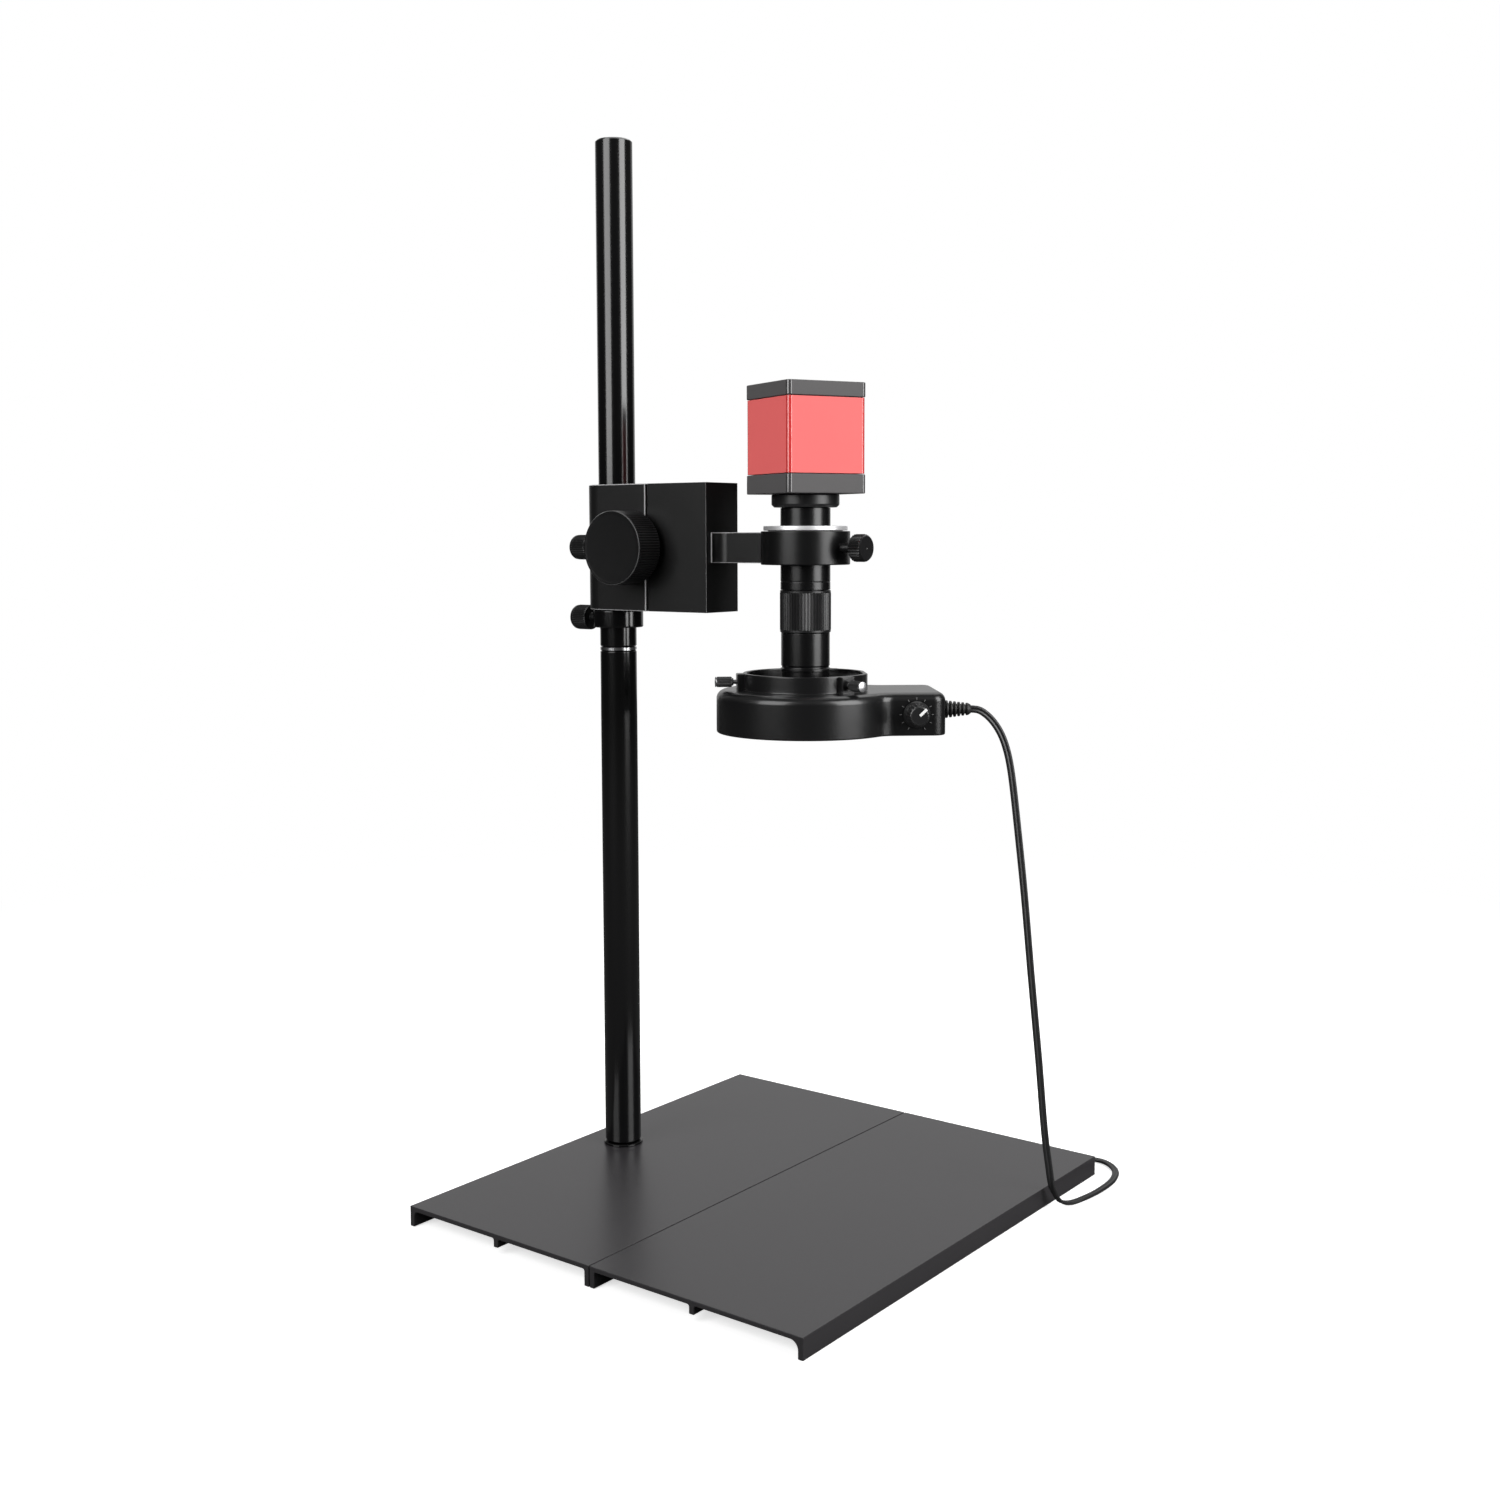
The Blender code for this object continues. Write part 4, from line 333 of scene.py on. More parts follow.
def circle(radius, count, height=0.0, start=0.0):
    """Points round the Z axis. The first is a share of one step past +X."""
    angles = [math.tau * (k + start) / count for k in range(count)]
    return [Vector((radius * math.cos(a), radius * math.sin(a), height)) for a in angles]


bm = bmesh.new()
outward = Vector((math.cos(TIE_ANGLE), math.sin(TIE_ANGLE), 0))
aside = Vector((0, 0, 1)).cross(outward)
for shift in (-TIE_APART, TIE_APART):
    middle = COIL_MIDDLE + outward * (COIL_OUTER - COIL_BAND / 2) + aside * shift
    middle.z += TIE_MIDDLE
    loop = []
    for k in range(24):
        angle = math.tau * k / 24
        across = math.copysign(abs(math.cos(angle)) ** TIE_SQUARENESS, math.cos(angle))
        rise = math.copysign(abs(math.sin(angle)) ** TIE_SQUARENESS, math.sin(angle))
        loop.append(middle + outward * TIE_ACROSS * across + Vector((0, 0, TIE_RISE * rise)))
    rings = []
    for before, here, after in zip(loop[-1:] + loop, loop, loop[1:] + loop[:1]):
        turn = (after - before).to_track_quat("Z", "Y").to_matrix()
        rings.append([here + turn @ p for p in circle(TIE_WIRE, 10)])
    skin(bm, rings, closed=True)
coil_tie = new_piece("coil_tie", bm, 60)
fit(coil_tie, cord_black, "black_rubber", "stand")

# Plug
# The lead's small flat plug: a moulded grip and a folded steel shell.
plug_steel = coated("plated steel", (0.55, 0.55, 0.56), 0.24, metallic=1.0, grain=0.0004, depth=0.05)
cad_dress(cord_black, "black_rubber", "plug_grip")
cad_dress(plug_steel, "bright_steel", "plug_shell")

# Floor and lights
# A pale floor that runs out of sight, two tall soft lights that draw the long highlights down the
# round parts, a soft light overhead and a glowing backdrop that the base's top mirrors.
FLOOR_SIZE = 16.0
FLOOR_LEVEL = -0.0002
FLOOR_WHITE = (0.86, 0.86, 0.86, 1)
FLOOR_IN_MIRRORS = (0.10, 0.10, 0.10, 1)  # the darker floor that the object itself is lit by
FLOOR_GLOW = 0.62
FADE_START, FADE_END = 0.35, 1.1  # distances between which the floor turns to plain white
ROOM_GLOW = {"From_Min": 0.0, "From_Max": 0.6, "To_Min": 0.02, "To_Max": 0.18}  # brighter overhead
LIGHT_CENTRE = Vector((0.0, 0.0, 0.30))
TOWARDS_CAMERA = math.atan2(CAMERA_PLACE[1], CAMERA_PLACE[0])


def rectangle(x0, y0, x1, y1):
    return [(x0, y0), (x1, y0), (x1, y1), (x0, y1)]


bm = bmesh.new()
half = FLOOR_SIZE / 2
bm.faces.new([bm.verts.new((x, y, FLOOR_LEVEL)) for x, y in rectangle(-half, -half, half, half)])
floor = new_piece("floor", bm)
floor_white, shader, add, join = new_material("floor")
shader.inputs["Base Color"].default_value = FLOOR_WHITE
shader.inputs["Roughness"].default_value = 0.9
shader.inputs["Specular IOR Level"].default_value = 0.1
glow = add("ShaderNodeEmission", Color=(1, 1, 1, 1), Strength=FLOOR_GLOW)
near_floor = add("ShaderNodeAddShader")
join(shader, "BSDF", near_floor, 0)
join(glow, "Emission", near_floor, 1)
distance = add("ShaderNodeVectorMath", "LENGTH")
join(add("ShaderNodeTexCoord"), "Object", distance, 0)
fade = add("ShaderNodeMapRange", From_Min=FADE_START, From_Max=FADE_END)
fade.interpolation_type = "SMOOTHSTEP"
join(distance, "Value", fade, "Value")
white = add("ShaderNodeEmission", Color=(1, 1, 1, 1), Strength=1.0)
shown = add("ShaderNodeMixShader")
join(fade, "Result", shown, "Fac")
join(near_floor, "Shader", shown, 1)
join(white, "Emission", shown, 2)
grey = add("ShaderNodeBsdfDiffuse", Color=FLOOR_IN_MIRRORS)
choice = add("ShaderNodeMixShader")
join(add("ShaderNodeLightPath"), "Is Camera Ray", choice, "Fac")
join(grey, "BSDF", choice, 1)
join(shown, "Shader", choice, 2)
join(choice, "Shader", floor_white.node_tree.nodes["Material Output"], "Surface")
floor.data.materials.append(floor_white)


def soft_light(name, bearing, distance, height, width, tall, watts):
    """A soft box at a bearing from the camera's, in degrees, turned to the middle of the stand."""
    light = bpy.data.lights.new(name, "AREA")
    light.shape = "RECTANGLE"
    light.size, light.size_y = width, tall
    light.energy = watts
    lamp = bpy.data.objects.new(name, light)
    bpy.context.collection.objects.link(lamp)
    angle = TOWARDS_CAMERA + math.radians(bearing)
    lamp.location = (distance * math.cos(angle), distance * math.sin(angle), height)
    lamp.rotation_euler = (lamp.location - LIGHT_CENTRE).to_track_quat("Z", "Y").to_euler()
    lamp.visible_camera = False


# Bearing, distance, height, width, how tall, and watts
soft_light("right_box", 57, 1.7, 0.90, 1.15, 1.6, 41)
soft_light("left_box", -45, 1.7, 1.09, 1.25, 1.5, 30)
soft_light("overhead", 165, 0.9, 1.9, 1.6, 1.6, 12)
soft_light("backdrop", 180, 2.2, 0.95, 4.0, 1.9, 12)

world = bpy.data.worlds.new("studio")
bpy.context.scene.world = world
world.use_nodes = True
add, join = node_kit(world.node_tree)
outside = world.node_tree.nodes["Background"]
outside.inputs["Color"].default_value = (1, 1, 1, 1)
height = add("ShaderNodeSeparateXYZ")
join(add("ShaderNodeTexCoord"), "Generated", height, "Vector")
dusk = add("ShaderNodeMapRange", **ROOM_GLOW)
join(height, "Z", dusk, "Value")
strength = add("ShaderNodeMapRange", To_Max=1.0)
join(add("ShaderNodeLightPath"), "Is Camera Ray", strength, "Value")
join(dusk, "Result", strength, "To Min")
join(strength, "Result", outside, "Strength")

# Base
# Two aluminium extrusions side by side, bead-blasted and anodised black. Each is a thin plate with
# a flange down both long edges and a small rib down the middle, sawn off at its ends.
PLATE = 0.0025
FLANGE = 0.003
RIB_WIDTH = 0.003
RIB_DROP = 0.0045
RIB_FILLET = 0.0012
SEAM_FILLET = 0.0012
SEAM_EASE = 0.00012
FRONT_FILLET = 0.0045
BACK_FILLET = 0.003
DRAW_LINES = (3, 900, 900)  # lines to the metre in X, Y and Z


def corners_of(node):
    low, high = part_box(node)
    return Vector(low), Vector(high)


def arc(centre, radius, start, end, steps):
    angles = [math.radians(start + (end - start) * k / steps) for k in range(steps + 1)]
    return [(centre[0] + radius * math.cos(a), centre[1] + radius * math.sin(a)) for a in angles]


def even_shading(piece):
    """Lets the large faces rule the shading, so that flats stay flat up to their edges."""
    step = piece.modifiers.new("even shading", "WEIGHTED_NORMAL")
    step.weight = 50
    step.keep_sharp = True


def bevel(piece, width, worn=None):
    """Softens a piece's sharp edges, so that they catch the light. They may also be painted pale, as a
    painted highlight.
    """
    for edge in piece.data.edges:
        edge.use_edge_sharp = False
    step = piece.modifiers.new("edges", "BEVEL")
    step.width = width
    step.segments = 3
    step.limit_method = "ANGLE"
    step.angle_limit = math.radians(32)
    # A second material paints the bevels pale: a painted highlight of the light the edges catch
    if worn is not None:
        piece.data.materials.append(worn)
        step.material = 1
    even_shading(piece)


def base_section(near, far, top, fillet):
    """One extrusion in section, as (Y, Z), from its seam flange to its outer one."""
    out = math.copysign(1, far - near)
    under = top - PLATE
    middle = (near + far) / 2
    inner, outer = near + out * FLANGE, far - out * FLANGE

    def curve(y, z, radius, start, end, steps):
        return [(y + out * (py - y), pz) for py, pz in arc((y, z), radius, start, end, steps)]

    half = RIB_WIDTH / 2
    root = half + RIB_FILLET
    points = [(near, 0), (inner, 0)]
    points += curve(inner + out * SEAM_FILLET, under - SEAM_FILLET, SEAM_FILLET, 180, 90, 6)
    points += curve(middle - out * root, under - RIB_FILLET, RIB_FILLET, 90, 0, 5)
    points += [(middle - out * half, under - RIB_DROP), (middle + out * half, under - RIB_DROP)]
    points += curve(middle + out * root, under - RIB_FILLET, RIB_FILLET, 180, 90, 5)
    points += curve(outer - out * fillet, under - fillet, fillet, 90, 0, 10)
    points += [(outer, 0), (far, 0), (far, top), (near, top)]
    return points


def cut_pattern(material, pattern, strength, distance):
    """Cuts a second pattern into a coated material, under its fine grain."""
    tree = material.node_tree
    add, join = node_kit(tree)
    cut = add("ShaderNodeBump", Strength=strength, Distance=distance)
    join(pattern, "Fac", cut, "Height")
    join(cut, "Normal", tree.nodes["Bump"], "Normal")


def extruded_black():
    """Fine blasted grain over the faint draw lines of the extrusion, which run along X."""
    material = coated("base anodised", (0.029, 0.0275, 0.0295), 0.30, grain=0.00028, depth=0.25)
    add, join = node_kit(material.node_tree)
    stretch = add("ShaderNodeMapping", Scale=DRAW_LINES)
    lines = add("ShaderNodeTexNoise", Scale=1.0)
    join(material.node_tree.nodes["Texture Coordinate"], "Object", stretch, "Vector")
    join(stretch, "Vector", lines, "Vector")
    cut_pattern(material, lines, 0.04, 0.0001)
    return material


base_black = extruded_black()
for node, fillet in (("base_rear", BACK_FILLET), ("base_front", FRONT_FILLET)):
    low, high = corners_of(node)
    near, far = (low.y, high.y) if node == "base_rear" else (high.y, low.y)
    near += math.copysign(SEAM_EASE, far - near)
    section = base_section(near, far, high.z, fillet)
    bm = bmesh.new()
    skin(bm, [[Vector((x, y, z)) for y, z in section] for x in (low.x, high.x)])
    extrusion = new_piece(node + "_extrusion", bm)
    bevel(extrusion, 0.00035)
    fit(extrusion, base_black, "base_black", "stand", node)

# Base fixings
# Zinc-plated screws: two through the seam's flanges and a flanged hexagon one up into the post.
zinc = coated("zinc plate", (0.50, 0.50, 0.49), 0.32, metallic=1.0, grain=0.0008, depth=0.1)
cad_dress(zinc, "bright_steel", "seam_screw_left", "seam_screw_right", "foot_screw")

# Post
# Two turned steel rods, blacked and polished, screwed end to end on a bright stud whose shoulder
# shows as a thin ring. A thin black washer sits under the lower rod.
ROD_RADIUS = 0.0105
ROD_CHAMFER = 0.0011
WASHER_BORE = 0.0053
WASHER_EDGE = 0.0003


def turned(name, profile, steps, axis):
    """A lathe-turned piece from (radius, height) points, stood on an axis."""
    bm = bmesh.new()
    corners = [bm.verts.new((r, 0, z)) for r, z in profile]
    edges = [bm.edges.new(pair) for pair in zip(corners, corners[1:])]
    if profile[0][0] > 0 or profile[-1][0] > 0:
        edges.append(bm.edges.new((corners[-1], corners[0])))
    bmesh.ops.spin(
        bm, geom=corners + edges, cent=(0, 0, 0), axis=(0, 0, 1), angle=math.tau, steps=steps
    )
    bmesh.ops.remove_doubles(bm, verts=bm.verts, dist=SAME_PLACE)
    bm.transform(axis)
    piece = new_piece(name, bm, 30)
    even_shading(piece)
    return piece


def axis_at(place, direction=(0, 0, 1)):
    """The frame whose Z runs along a direction from a place."""
    turn = Vector(direction).to_track_quat("Z", "Y").to_matrix().to_4x4()
    return Matrix.Translation(place) @ turn


def cut_rings(material, centre, across, scale, strength, distance):
    """Cuts a lathe's rings into a material, about an axis through a centre.

    Across is 0 for the one of X, Y and Z that the axis runs along, and 1 for the other two. About
    an upright axis the rings also go up the sides, as bands.
    """
    add, join = node_kit(material.node_tree)
    place = material.node_tree.nodes["Texture Coordinate"]
    centred = add("ShaderNodeVectorMath", "SUBTRACT")
    centred.inputs[1].default_value = centre
    flat = add("ShaderNodeVectorMath", "MULTIPLY")
    flat.inputs[1].default_value = across
    radius = add("ShaderNodeVectorMath", "LENGTH")
    grooves = add("ShaderNodeTexNoise", Scale=scale)
    grooves.noise_dimensions = "1D"
    join(place, "Object", centred, 0)
    join(centred, "Vector", flat, 0)
    join(flat, "Vector", radius, 0)
    if across[2]:
        join(radius, "Value", grooves, "W")
    else:
        apart = add("ShaderNodeSeparateXYZ")
        height = add("ShaderNodeMath", "ADD")
        join(place, "Object", apart, "Vector")
        join(radius, "Value", height, 0)
        join(apart, "Z", height, 1)
        join(height, "Value", grooves, "W")
    cut_pattern(material, grooves, strength, distance)


def lathed(name, colour, roughness, metallic, spacing, depth, axis_place, coat=0.0):
    """A turned metal: fine rings on its faces and fine bands up its sides, about an upright axis."""
    material = coated(name, colour, roughness, metallic, grain=0.0005, depth=0.06, coat=coat)
    cut_rings(material, (*axis_place, 0), (1, 1, 0), 1 / spacing, depth, spacing * 0.3)
    return material


low, high = corners_of("upper_rod")
POST = Vector((0, round((low.y + high.y) / 2, 4), 0))
rod_colour = (0.002, 0.002, 0.0022)
rod_black = lathed("blacked rod", rod_colour, 0.17, 0.0, 0.0004, 0.005, POST[:2], coat=0.25)
bright = lathed("bright steel", (0.62, 0.62, 0.63), 0.22, 1.0, 0.0003, 0.15, POST[:2])


def rod_profile(bottom, top):
    """A chamfered rod. The chamfer runs out on a small curve."""
    edge = ROD_CHAMFER
    points = [(0, bottom), (ROD_RADIUS - edge, bottom), (ROD_RADIUS - 0.0001, bottom + edge * 0.8)]
    points += [(ROD_RADIUS, bottom + edge * 1.1), (ROD_RADIUS, top - edge * 1.1)]
    points += [(ROD_RADIUS - 0.0001, top - edge * 0.8), (ROD_RADIUS - edge, top), (0, top)]
    return points


for node in ("lower_rod", "upper_rod"):
    low, high = corners_of(node)
    rod = turned(node + "_turned", rod_profile(low.z, high.z), 160, axis_at(POST))
    fit(rod, rod_black, "gloss_black", "stand", node)

joint_low, joint_high = corners_of("lower_rod")[1].z, corners_of("upper_rod")[0].z
shoulder = rectangle(0, joint_low, ROD_RADIUS, joint_high)
coupler = turned("bright_shoulder", shoulder, 160, axis_at(POST))
fit(coupler, bright, "bright_steel", "stand", "rod_coupler")

low, high = corners_of("foot_washer")
radius = (high.x - low.x) / 2
edge = WASHER_EDGE
profile = [(WASHER_BORE, low.z), (radius, low.z), (radius, high.z - edge), (radius - edge, high.z)]
washer = turned("post_washer", profile + [(WASHER_BORE, high.z)], 128, axis_at(POST))
fit(washer, rod_black, "gloss_black", "stand", "foot_washer")

# Stop collar and the two clamp knobs
# A plain turned collar on the post, blacked like the rods, and two alike knurled knobs with domed
# faces on thin shanks, anodised black: one in the collar, one in the focus block.
COLLAR_RADIUS = 0.01445
COLLAR_BORE = 0.0108
KNOB_RADIUS = 0.0072
KNOB_LENGTH = 0.0125
KNOB_SHANK = 0.0025
KNOB_TEETH = 40
KNOB_KNURL = 0.0004


def rounded(points, radius, steps=4):
    """The outline with each inner corner turned on a small radius. Its two ends stay sharp."""
    made = [points[0]]
    for before, here, after in zip(points, points[1:], points[2:]):
        corner = Vector(here)
        back, on = Vector(before) - corner, Vector(after) - corner
        reach = min(radius, back.length * 0.45, on.length * 0.45)
        start, end = corner + back.normalized() * reach, corner + on.normalized() * reach
        for k in range(steps + 1):
            t = k / steps
            made.append(tuple(start * (1 - t) ** 2 + 2 * corner * t * (1 - t) + end * t**2))
    made.append(points[-1])
    return made


def knurled(name, profile, teeth, depth, axis, closed=False):
    """A straight-knurled piece. Each profile point is (radius, height, share of the knurl's depth)."""
    rings = []
    for radius, height, share in profile:
        ring = []
        for k in range(4 * teeth):
            reach = radius - depth * share * (0.0, 0.5, 1.0, 0.5)[k % 4]
            angle = math.tau * k / (4 * teeth)
            ring.append(Vector((reach * math.cos(angle), reach * math.sin(angle), height)))
        rings.append(ring)
    bm = bmesh.new()
    skin(bm, rings, closed=closed)
    bmesh.ops.remove_doubles(bm, verts=bm.verts, dist=SAME_PLACE)
    bm.transform(axis)
    piece = new_piece(name, bm, 28)
    even_shading(piece)
    return piece


def clamp_knob(name, place, direction, body, node):
    """A knob on a shank. Its profile starts at the screw's end and goes round to the face."""
    low, high = corners_of(node)
    shank = high.y - low.y - KNOB_LENGTH
    top = KNOB_LENGTH
    profile = [
        (KNOB_SHANK, -shank, 0),
        (KNOB_SHANK, -0.0004, 0),
        (KNOB_SHANK + 0.0003, 0, 0),
        (KNOB_RADIUS - 0.0012, 0, 0),
        (KNOB_RADIUS - 0.0004, 0.0003, 0),
        (KNOB_RADIUS, 0.0009, 1),
        (KNOB_RADIUS, top - 0.0030, 1),
        (KNOB_RADIUS - 0.0001, top - 0.0027, 0),
        (KNOB_RADIUS - 0.0002, top - 0.0017, 0),
        (KNOB_RADIUS - 0.0007, top - 0.0008, 0),
        (KNOB_RADIUS - 0.0015, top - 0.0002, 0),
        (KNOB_RADIUS - 0.0024, top, 0),
        (0.0014, top, 0),
        (0.0009, top - 0.0003, 0),
        (0.0002, top - 0.0006, 0),
    ]
    knob = knurled(name, profile, KNOB_TEETH, KNOB_KNURL, axis_at(place, direction))
    fit(knob, satin_black, "black_anodised", body, node)


satin_black = coated("satin anodised", (0.006, 0.006, 0.0064), 0.34, grain=0.00025, depth=0.22)
low, high = corners_of("stop_collar")
section = rectangle(COLLAR_BORE, low.z, COLLAR_RADIUS, high.z)
collar = turned("collar_turned", rounded(section, 0.0009), 128, axis_at(POST))
fit(collar, rod_black, "black_anodised", "stop_collar_body", "stop_collar")
KNOB_Y = corners_of("collar_knob")[1].y - KNOB_LENGTH
collar_level = (low.z + high.z) / 2
clamp_knob("collar_knob", (0, KNOB_Y, collar_level), (0, 1, 0), "collar_knob_body", "collar_knob")

# Clamp block
# A milled block clamped round the post, with a male dovetail down its front and a slot for the
# rack down the dovetail's middle. Blasted and anodised black, its fine edges painted pale as a painted
# highlight.
BLOCK_LOW, BLOCK_HIGH = (corner.z for corner in corners_of("clamp_block"))
BLOCK_MIDDLE = (BLOCK_LOW + BLOCK_HIGH) / 2
CLAMP_HALF = 0.016
CLAMP_FRONT = 0.0347
TAIL_NECK = 0.0055
TAIL_HEAD = 0.0090
TAIL_DEPTH = 0.0080
SLOT_HALF = 0.00325
SLOT_END = -0.0185
BORE_RADIUS = 0.0108
CUT_BEYOND = 0.01  # how far a cut goes on outside a piece


def block(bm, low, high, axis):
    """A square-edged block between two corners, in a frame."""
    flat = rectangle(*low[:2], *high[:2])
    skin(bm, [[axis @ Vector((x, y, z)) for x, y in flat] for z in (low[2], high[2])])


def cut_holes(piece, rods, blocks=()):
    """Cuts holes into the mesh. Each rod is (start, end, radius), each block (low, high, frame)."""
    bm = bmesh.new()
    for start, end, radius in rods:
        start, end = Vector(start), Vector(end)
        turn = (end - start).to_track_quat("Z", "Y").to_matrix()
        rim = [turn @ p for p in circle(radius, 40, start=0.5)]
        skin(bm, [[start + p for p in rim], [end + p for p in rim]])
    for low, high, axis in blocks:
        block(bm, low, high, axis)
    cutter = new_piece(piece.name + "_cutter", bm)
    step = piece.modifiers.new("holes", "BOOLEAN")
    step.operation = "DIFFERENCE"
    step.solver = "EXACT"
    step.object = cutter
    bpy.context.view_layer.update()
    seen = bpy.context.evaluated_depsgraph_get()
    milled = bpy.data.meshes.new_from_object(piece.evaluated_get(seen))
    piece.modifiers.clear()
    piece.data = milled
    bpy.data.objects.remove(cutter)


def mirrored(side):
    """A side of an outline and its mirror image, from its far end back."""
    return side + [(-x, y) for x, y in reversed(side)]


def raised(outline, height):
    return [Vector((x, y, height)) for x, y in outline]


def prism(name, outline, low, high, axis=None):
    bm = bmesh.new()
    skin(bm, [raised(outline, low), raised(outline, high)])
    if axis is not None:
        bm.transform(axis)
    return new_piece(name, bm)


block_black = coated("block anodised", (0.004, 0.004, 0.0042), 0.38, grain=0.00022, depth=0.25)
# Pale grey for the bevelled edges: a painted highlight, standing in for light that the fine edges
# catch
painted_edge_highlight = coated("worn edge", (0.42, 0.42, 0.425), 0.30, grain=0.0004, depth=0.05)
tip = -CLAMP_FRONT - TAIL_DEPTH
side = [(-CLAMP_HALF, -CLAMP_FRONT), (-TAIL_NECK, -CLAMP_FRONT), (-TAIL_HEAD, tip)]
side += [(-SLOT_HALF, tip), (-SLOT_HALF, SLOT_END)]
outline = arc((0, 0), CLAMP_HALF, 0, 180, 64) + mirrored(side)
clamp = prism("clamp_block_milled", outline, BLOCK_LOW, BLOCK_HIGH, Matrix.Translation(POST))
beyond = Vector((0, 0, CUT_BEYOND))
ends = [Vector((POST.x, POST.y, z)) for z in (BLOCK_LOW, BLOCK_HIGH)]
cut_holes(clamp, [(ends[0] - beyond, ends[1] + beyond, BORE_RADIUS)])
fit(clamp, block_black, "black_anodised", "focus_block", "clamp_block")
# Its bevelled edges get the painted highlight
bevel(clamp, 0.0005, worn=painted_edge_highlight)
clamp_knob("clamp_knob", (0, KNOB_Y, BLOCK_MIDDLE), (0, 1, 0), "clamp_knob_body", "clamp_knob")

# Rack, pinion and gib
# A brass rack and gib strip in the carriage, and a ground steel shaft with the pinion cut in it,
# turning in two brass bushes. They show only at the ends of the dovetail.
brass = coated("machined brass", (0.55, 0.37, 0.13), 0.30, metallic=1.0, grain=0.0006, depth=0.12)
cad_dress(brass, "brass", "rack", "gib_strip", "pinion_bush_left", "pinion_bush_right")
cad_dress(zinc, "bright_steel", "pinion_shaft")

# Focus knobs
# A large knurled knob on each end of the shaft: straight knurling, a fine bright-cut chamfer and a
# turned face with a shallow dish.
FOCUS_RADIUS = 0.0205
FOCUS_TEETH = 84
FOCUS_KNURL = 0.00042
FOCUS_RINGS = 2600  # turned rings to the metre
FOCUS_Z = BLOCK_MIDDLE
FOCUS_Y = corners_of("focus_knob_left")[0].y + FOCUS_RADIUS

# Anodised black with the fine rings of a turned face about the shaft, which lies along X
knob_black = coated("turned knob", (0.005, 0.005, 0.0053), 0.30, grain=0.0003, depth=0.12)
cut_rings(knob_black, (0, FOCUS_Y, FOCUS_Z), (0, 1, 1), FOCUS_RINGS, 0.12, 0.0001)
chamfer_bright = coated("cut chamfer", (0.34, 0.34, 0.345), 0.24, 0.9, grain=0.0005, depth=0.05)
for side, node in ((-1, "focus_knob_left"), (1, "focus_knob_right")):
    low, high = corners_of(node)
    near = high.x if side < 0 else low.x
    long = high.x - low.x
    axis = axis_at((near, FOCUS_Y, FOCUS_Z), (side, 0, 0))
    profile = [
        (0.0033, 0, 0),
        (0.0110, 0, 0),
        (0.0112, 0.0010, 0),
        (FOCUS_RADIUS - 0.0012, 0.0010, 0),
        (FOCUS_RADIUS - 0.0005, 0.0013, 0),
        (FOCUS_RADIUS, 0.0020, 1),
        (FOCUS_RADIUS, long - 0.0012, 1),
        (FOCUS_RADIUS - 0.0001, long - 0.0009, 0),
        (FOCUS_RADIUS - 0.0001, long - 0.0004, 0),
    ]
    grip = knurled(node + "_grip", profile, FOCUS_TEETH, FOCUS_KNURL, axis)
    fit(grip, knob_black, "black_anodised", "focus_shaft", node)
    rim = FOCUS_RADIUS - 0.0001
    chamfer = [(rim - 0.0006, long - 0.0012), (rim, long - 0.0004)]
    chamfer += [(rim - 0.00035, long), (rim - 0.0006, long)]
    ring = turned(node + "_chamfer", chamfer, 192, axis)
    fit(ring, chamfer_bright, "black_anodised", "focus_shaft", node)
    face = [(rim - 0.0004, long - 0.002), (rim - 0.0004, long), (rim - 0.0016, long)]
    face += [(rim - 0.0020, long - 0.0002), (0.0030, long - 0.00035), (0, long - 0.0004)]
    plate = turned(node + "_face", [(0, long - 0.002), *face], 192, axis)
    fit(plate, knob_black, "black_anodised", "focus_shaft", node)

# Carriage
# The sliding half of the focus block, milled with the female dovetail. Its right side has the
# tapped holes of the gib's and the arm's set screws.
CARRIAGE_HALF = 0.014
CARRIAGE_FRONT = 0.0766
GIB_ROOM = 0.0018
SLIDE_ROOM = 0.0003


def flank(y, away):
    """X of a line beside the dovetail's flank, at a clear distance from it."""
    slope = (TAIL_HEAD - TAIL_NECK) / TAIL_DEPTH
    return TAIL_NECK + slope * (-CLAMP_FRONT - y) + away * math.sqrt(1 + slope * slope)


back, floor_y = -CLAMP_FRONT - SLIDE_ROOM, -CLAMP_FRONT - TAIL_DEPTH - SLIDE_ROOM
outline = [
    (CARRIAGE_HALF, -CARRIAGE_FRONT),
    (CARRIAGE_HALF, back),
    (flank(back, GIB_ROOM), back),
    (flank(floor_y, GIB_ROOM), floor_y),
    (-flank(floor_y, SLIDE_ROOM), floor_y),
    (-flank(back, SLIDE_ROOM), back),
    (-CARRIAGE_HALF, back),
    (-CARRIAGE_HALF, -CARRIAGE_FRONT),
]
carriage = prism("carriage_milled", outline, BLOCK_LOW, BLOCK_HIGH, Matrix.Translation(POST))
holes = []
for node, radius in (("gib_screw", 0.0018), ("arm_screw", 0.0023)):
    for end in ("_lower", "_upper"):
        low, high = corners_of(node + end)
        middle = (low + high) / 2
        start = (low.x - 0.0004, middle.y, middle.z)
        holes.append((start, (CARRIAGE_HALF + CUT_BEYOND, middle.y, middle.z), radius))
cut_holes(carriage, holes)
fit(carriage, block_black, "black_anodised", "carriage_body", "carriage")
# Its bevelled edges get the painted highlight
bevel(carriage, 0.0006, worn=painted_edge_highlight)
screw_black = coated("blacked screw", (0.030, 0.030, 0.031), 0.30, 0.8, grain=0.0006, depth=0.1)
screws = ("gib_screw_lower", "gib_screw_upper", "arm_screw_lower", "arm_screw_upper")
cad_dress(screw_black, "bright_steel", *screws)

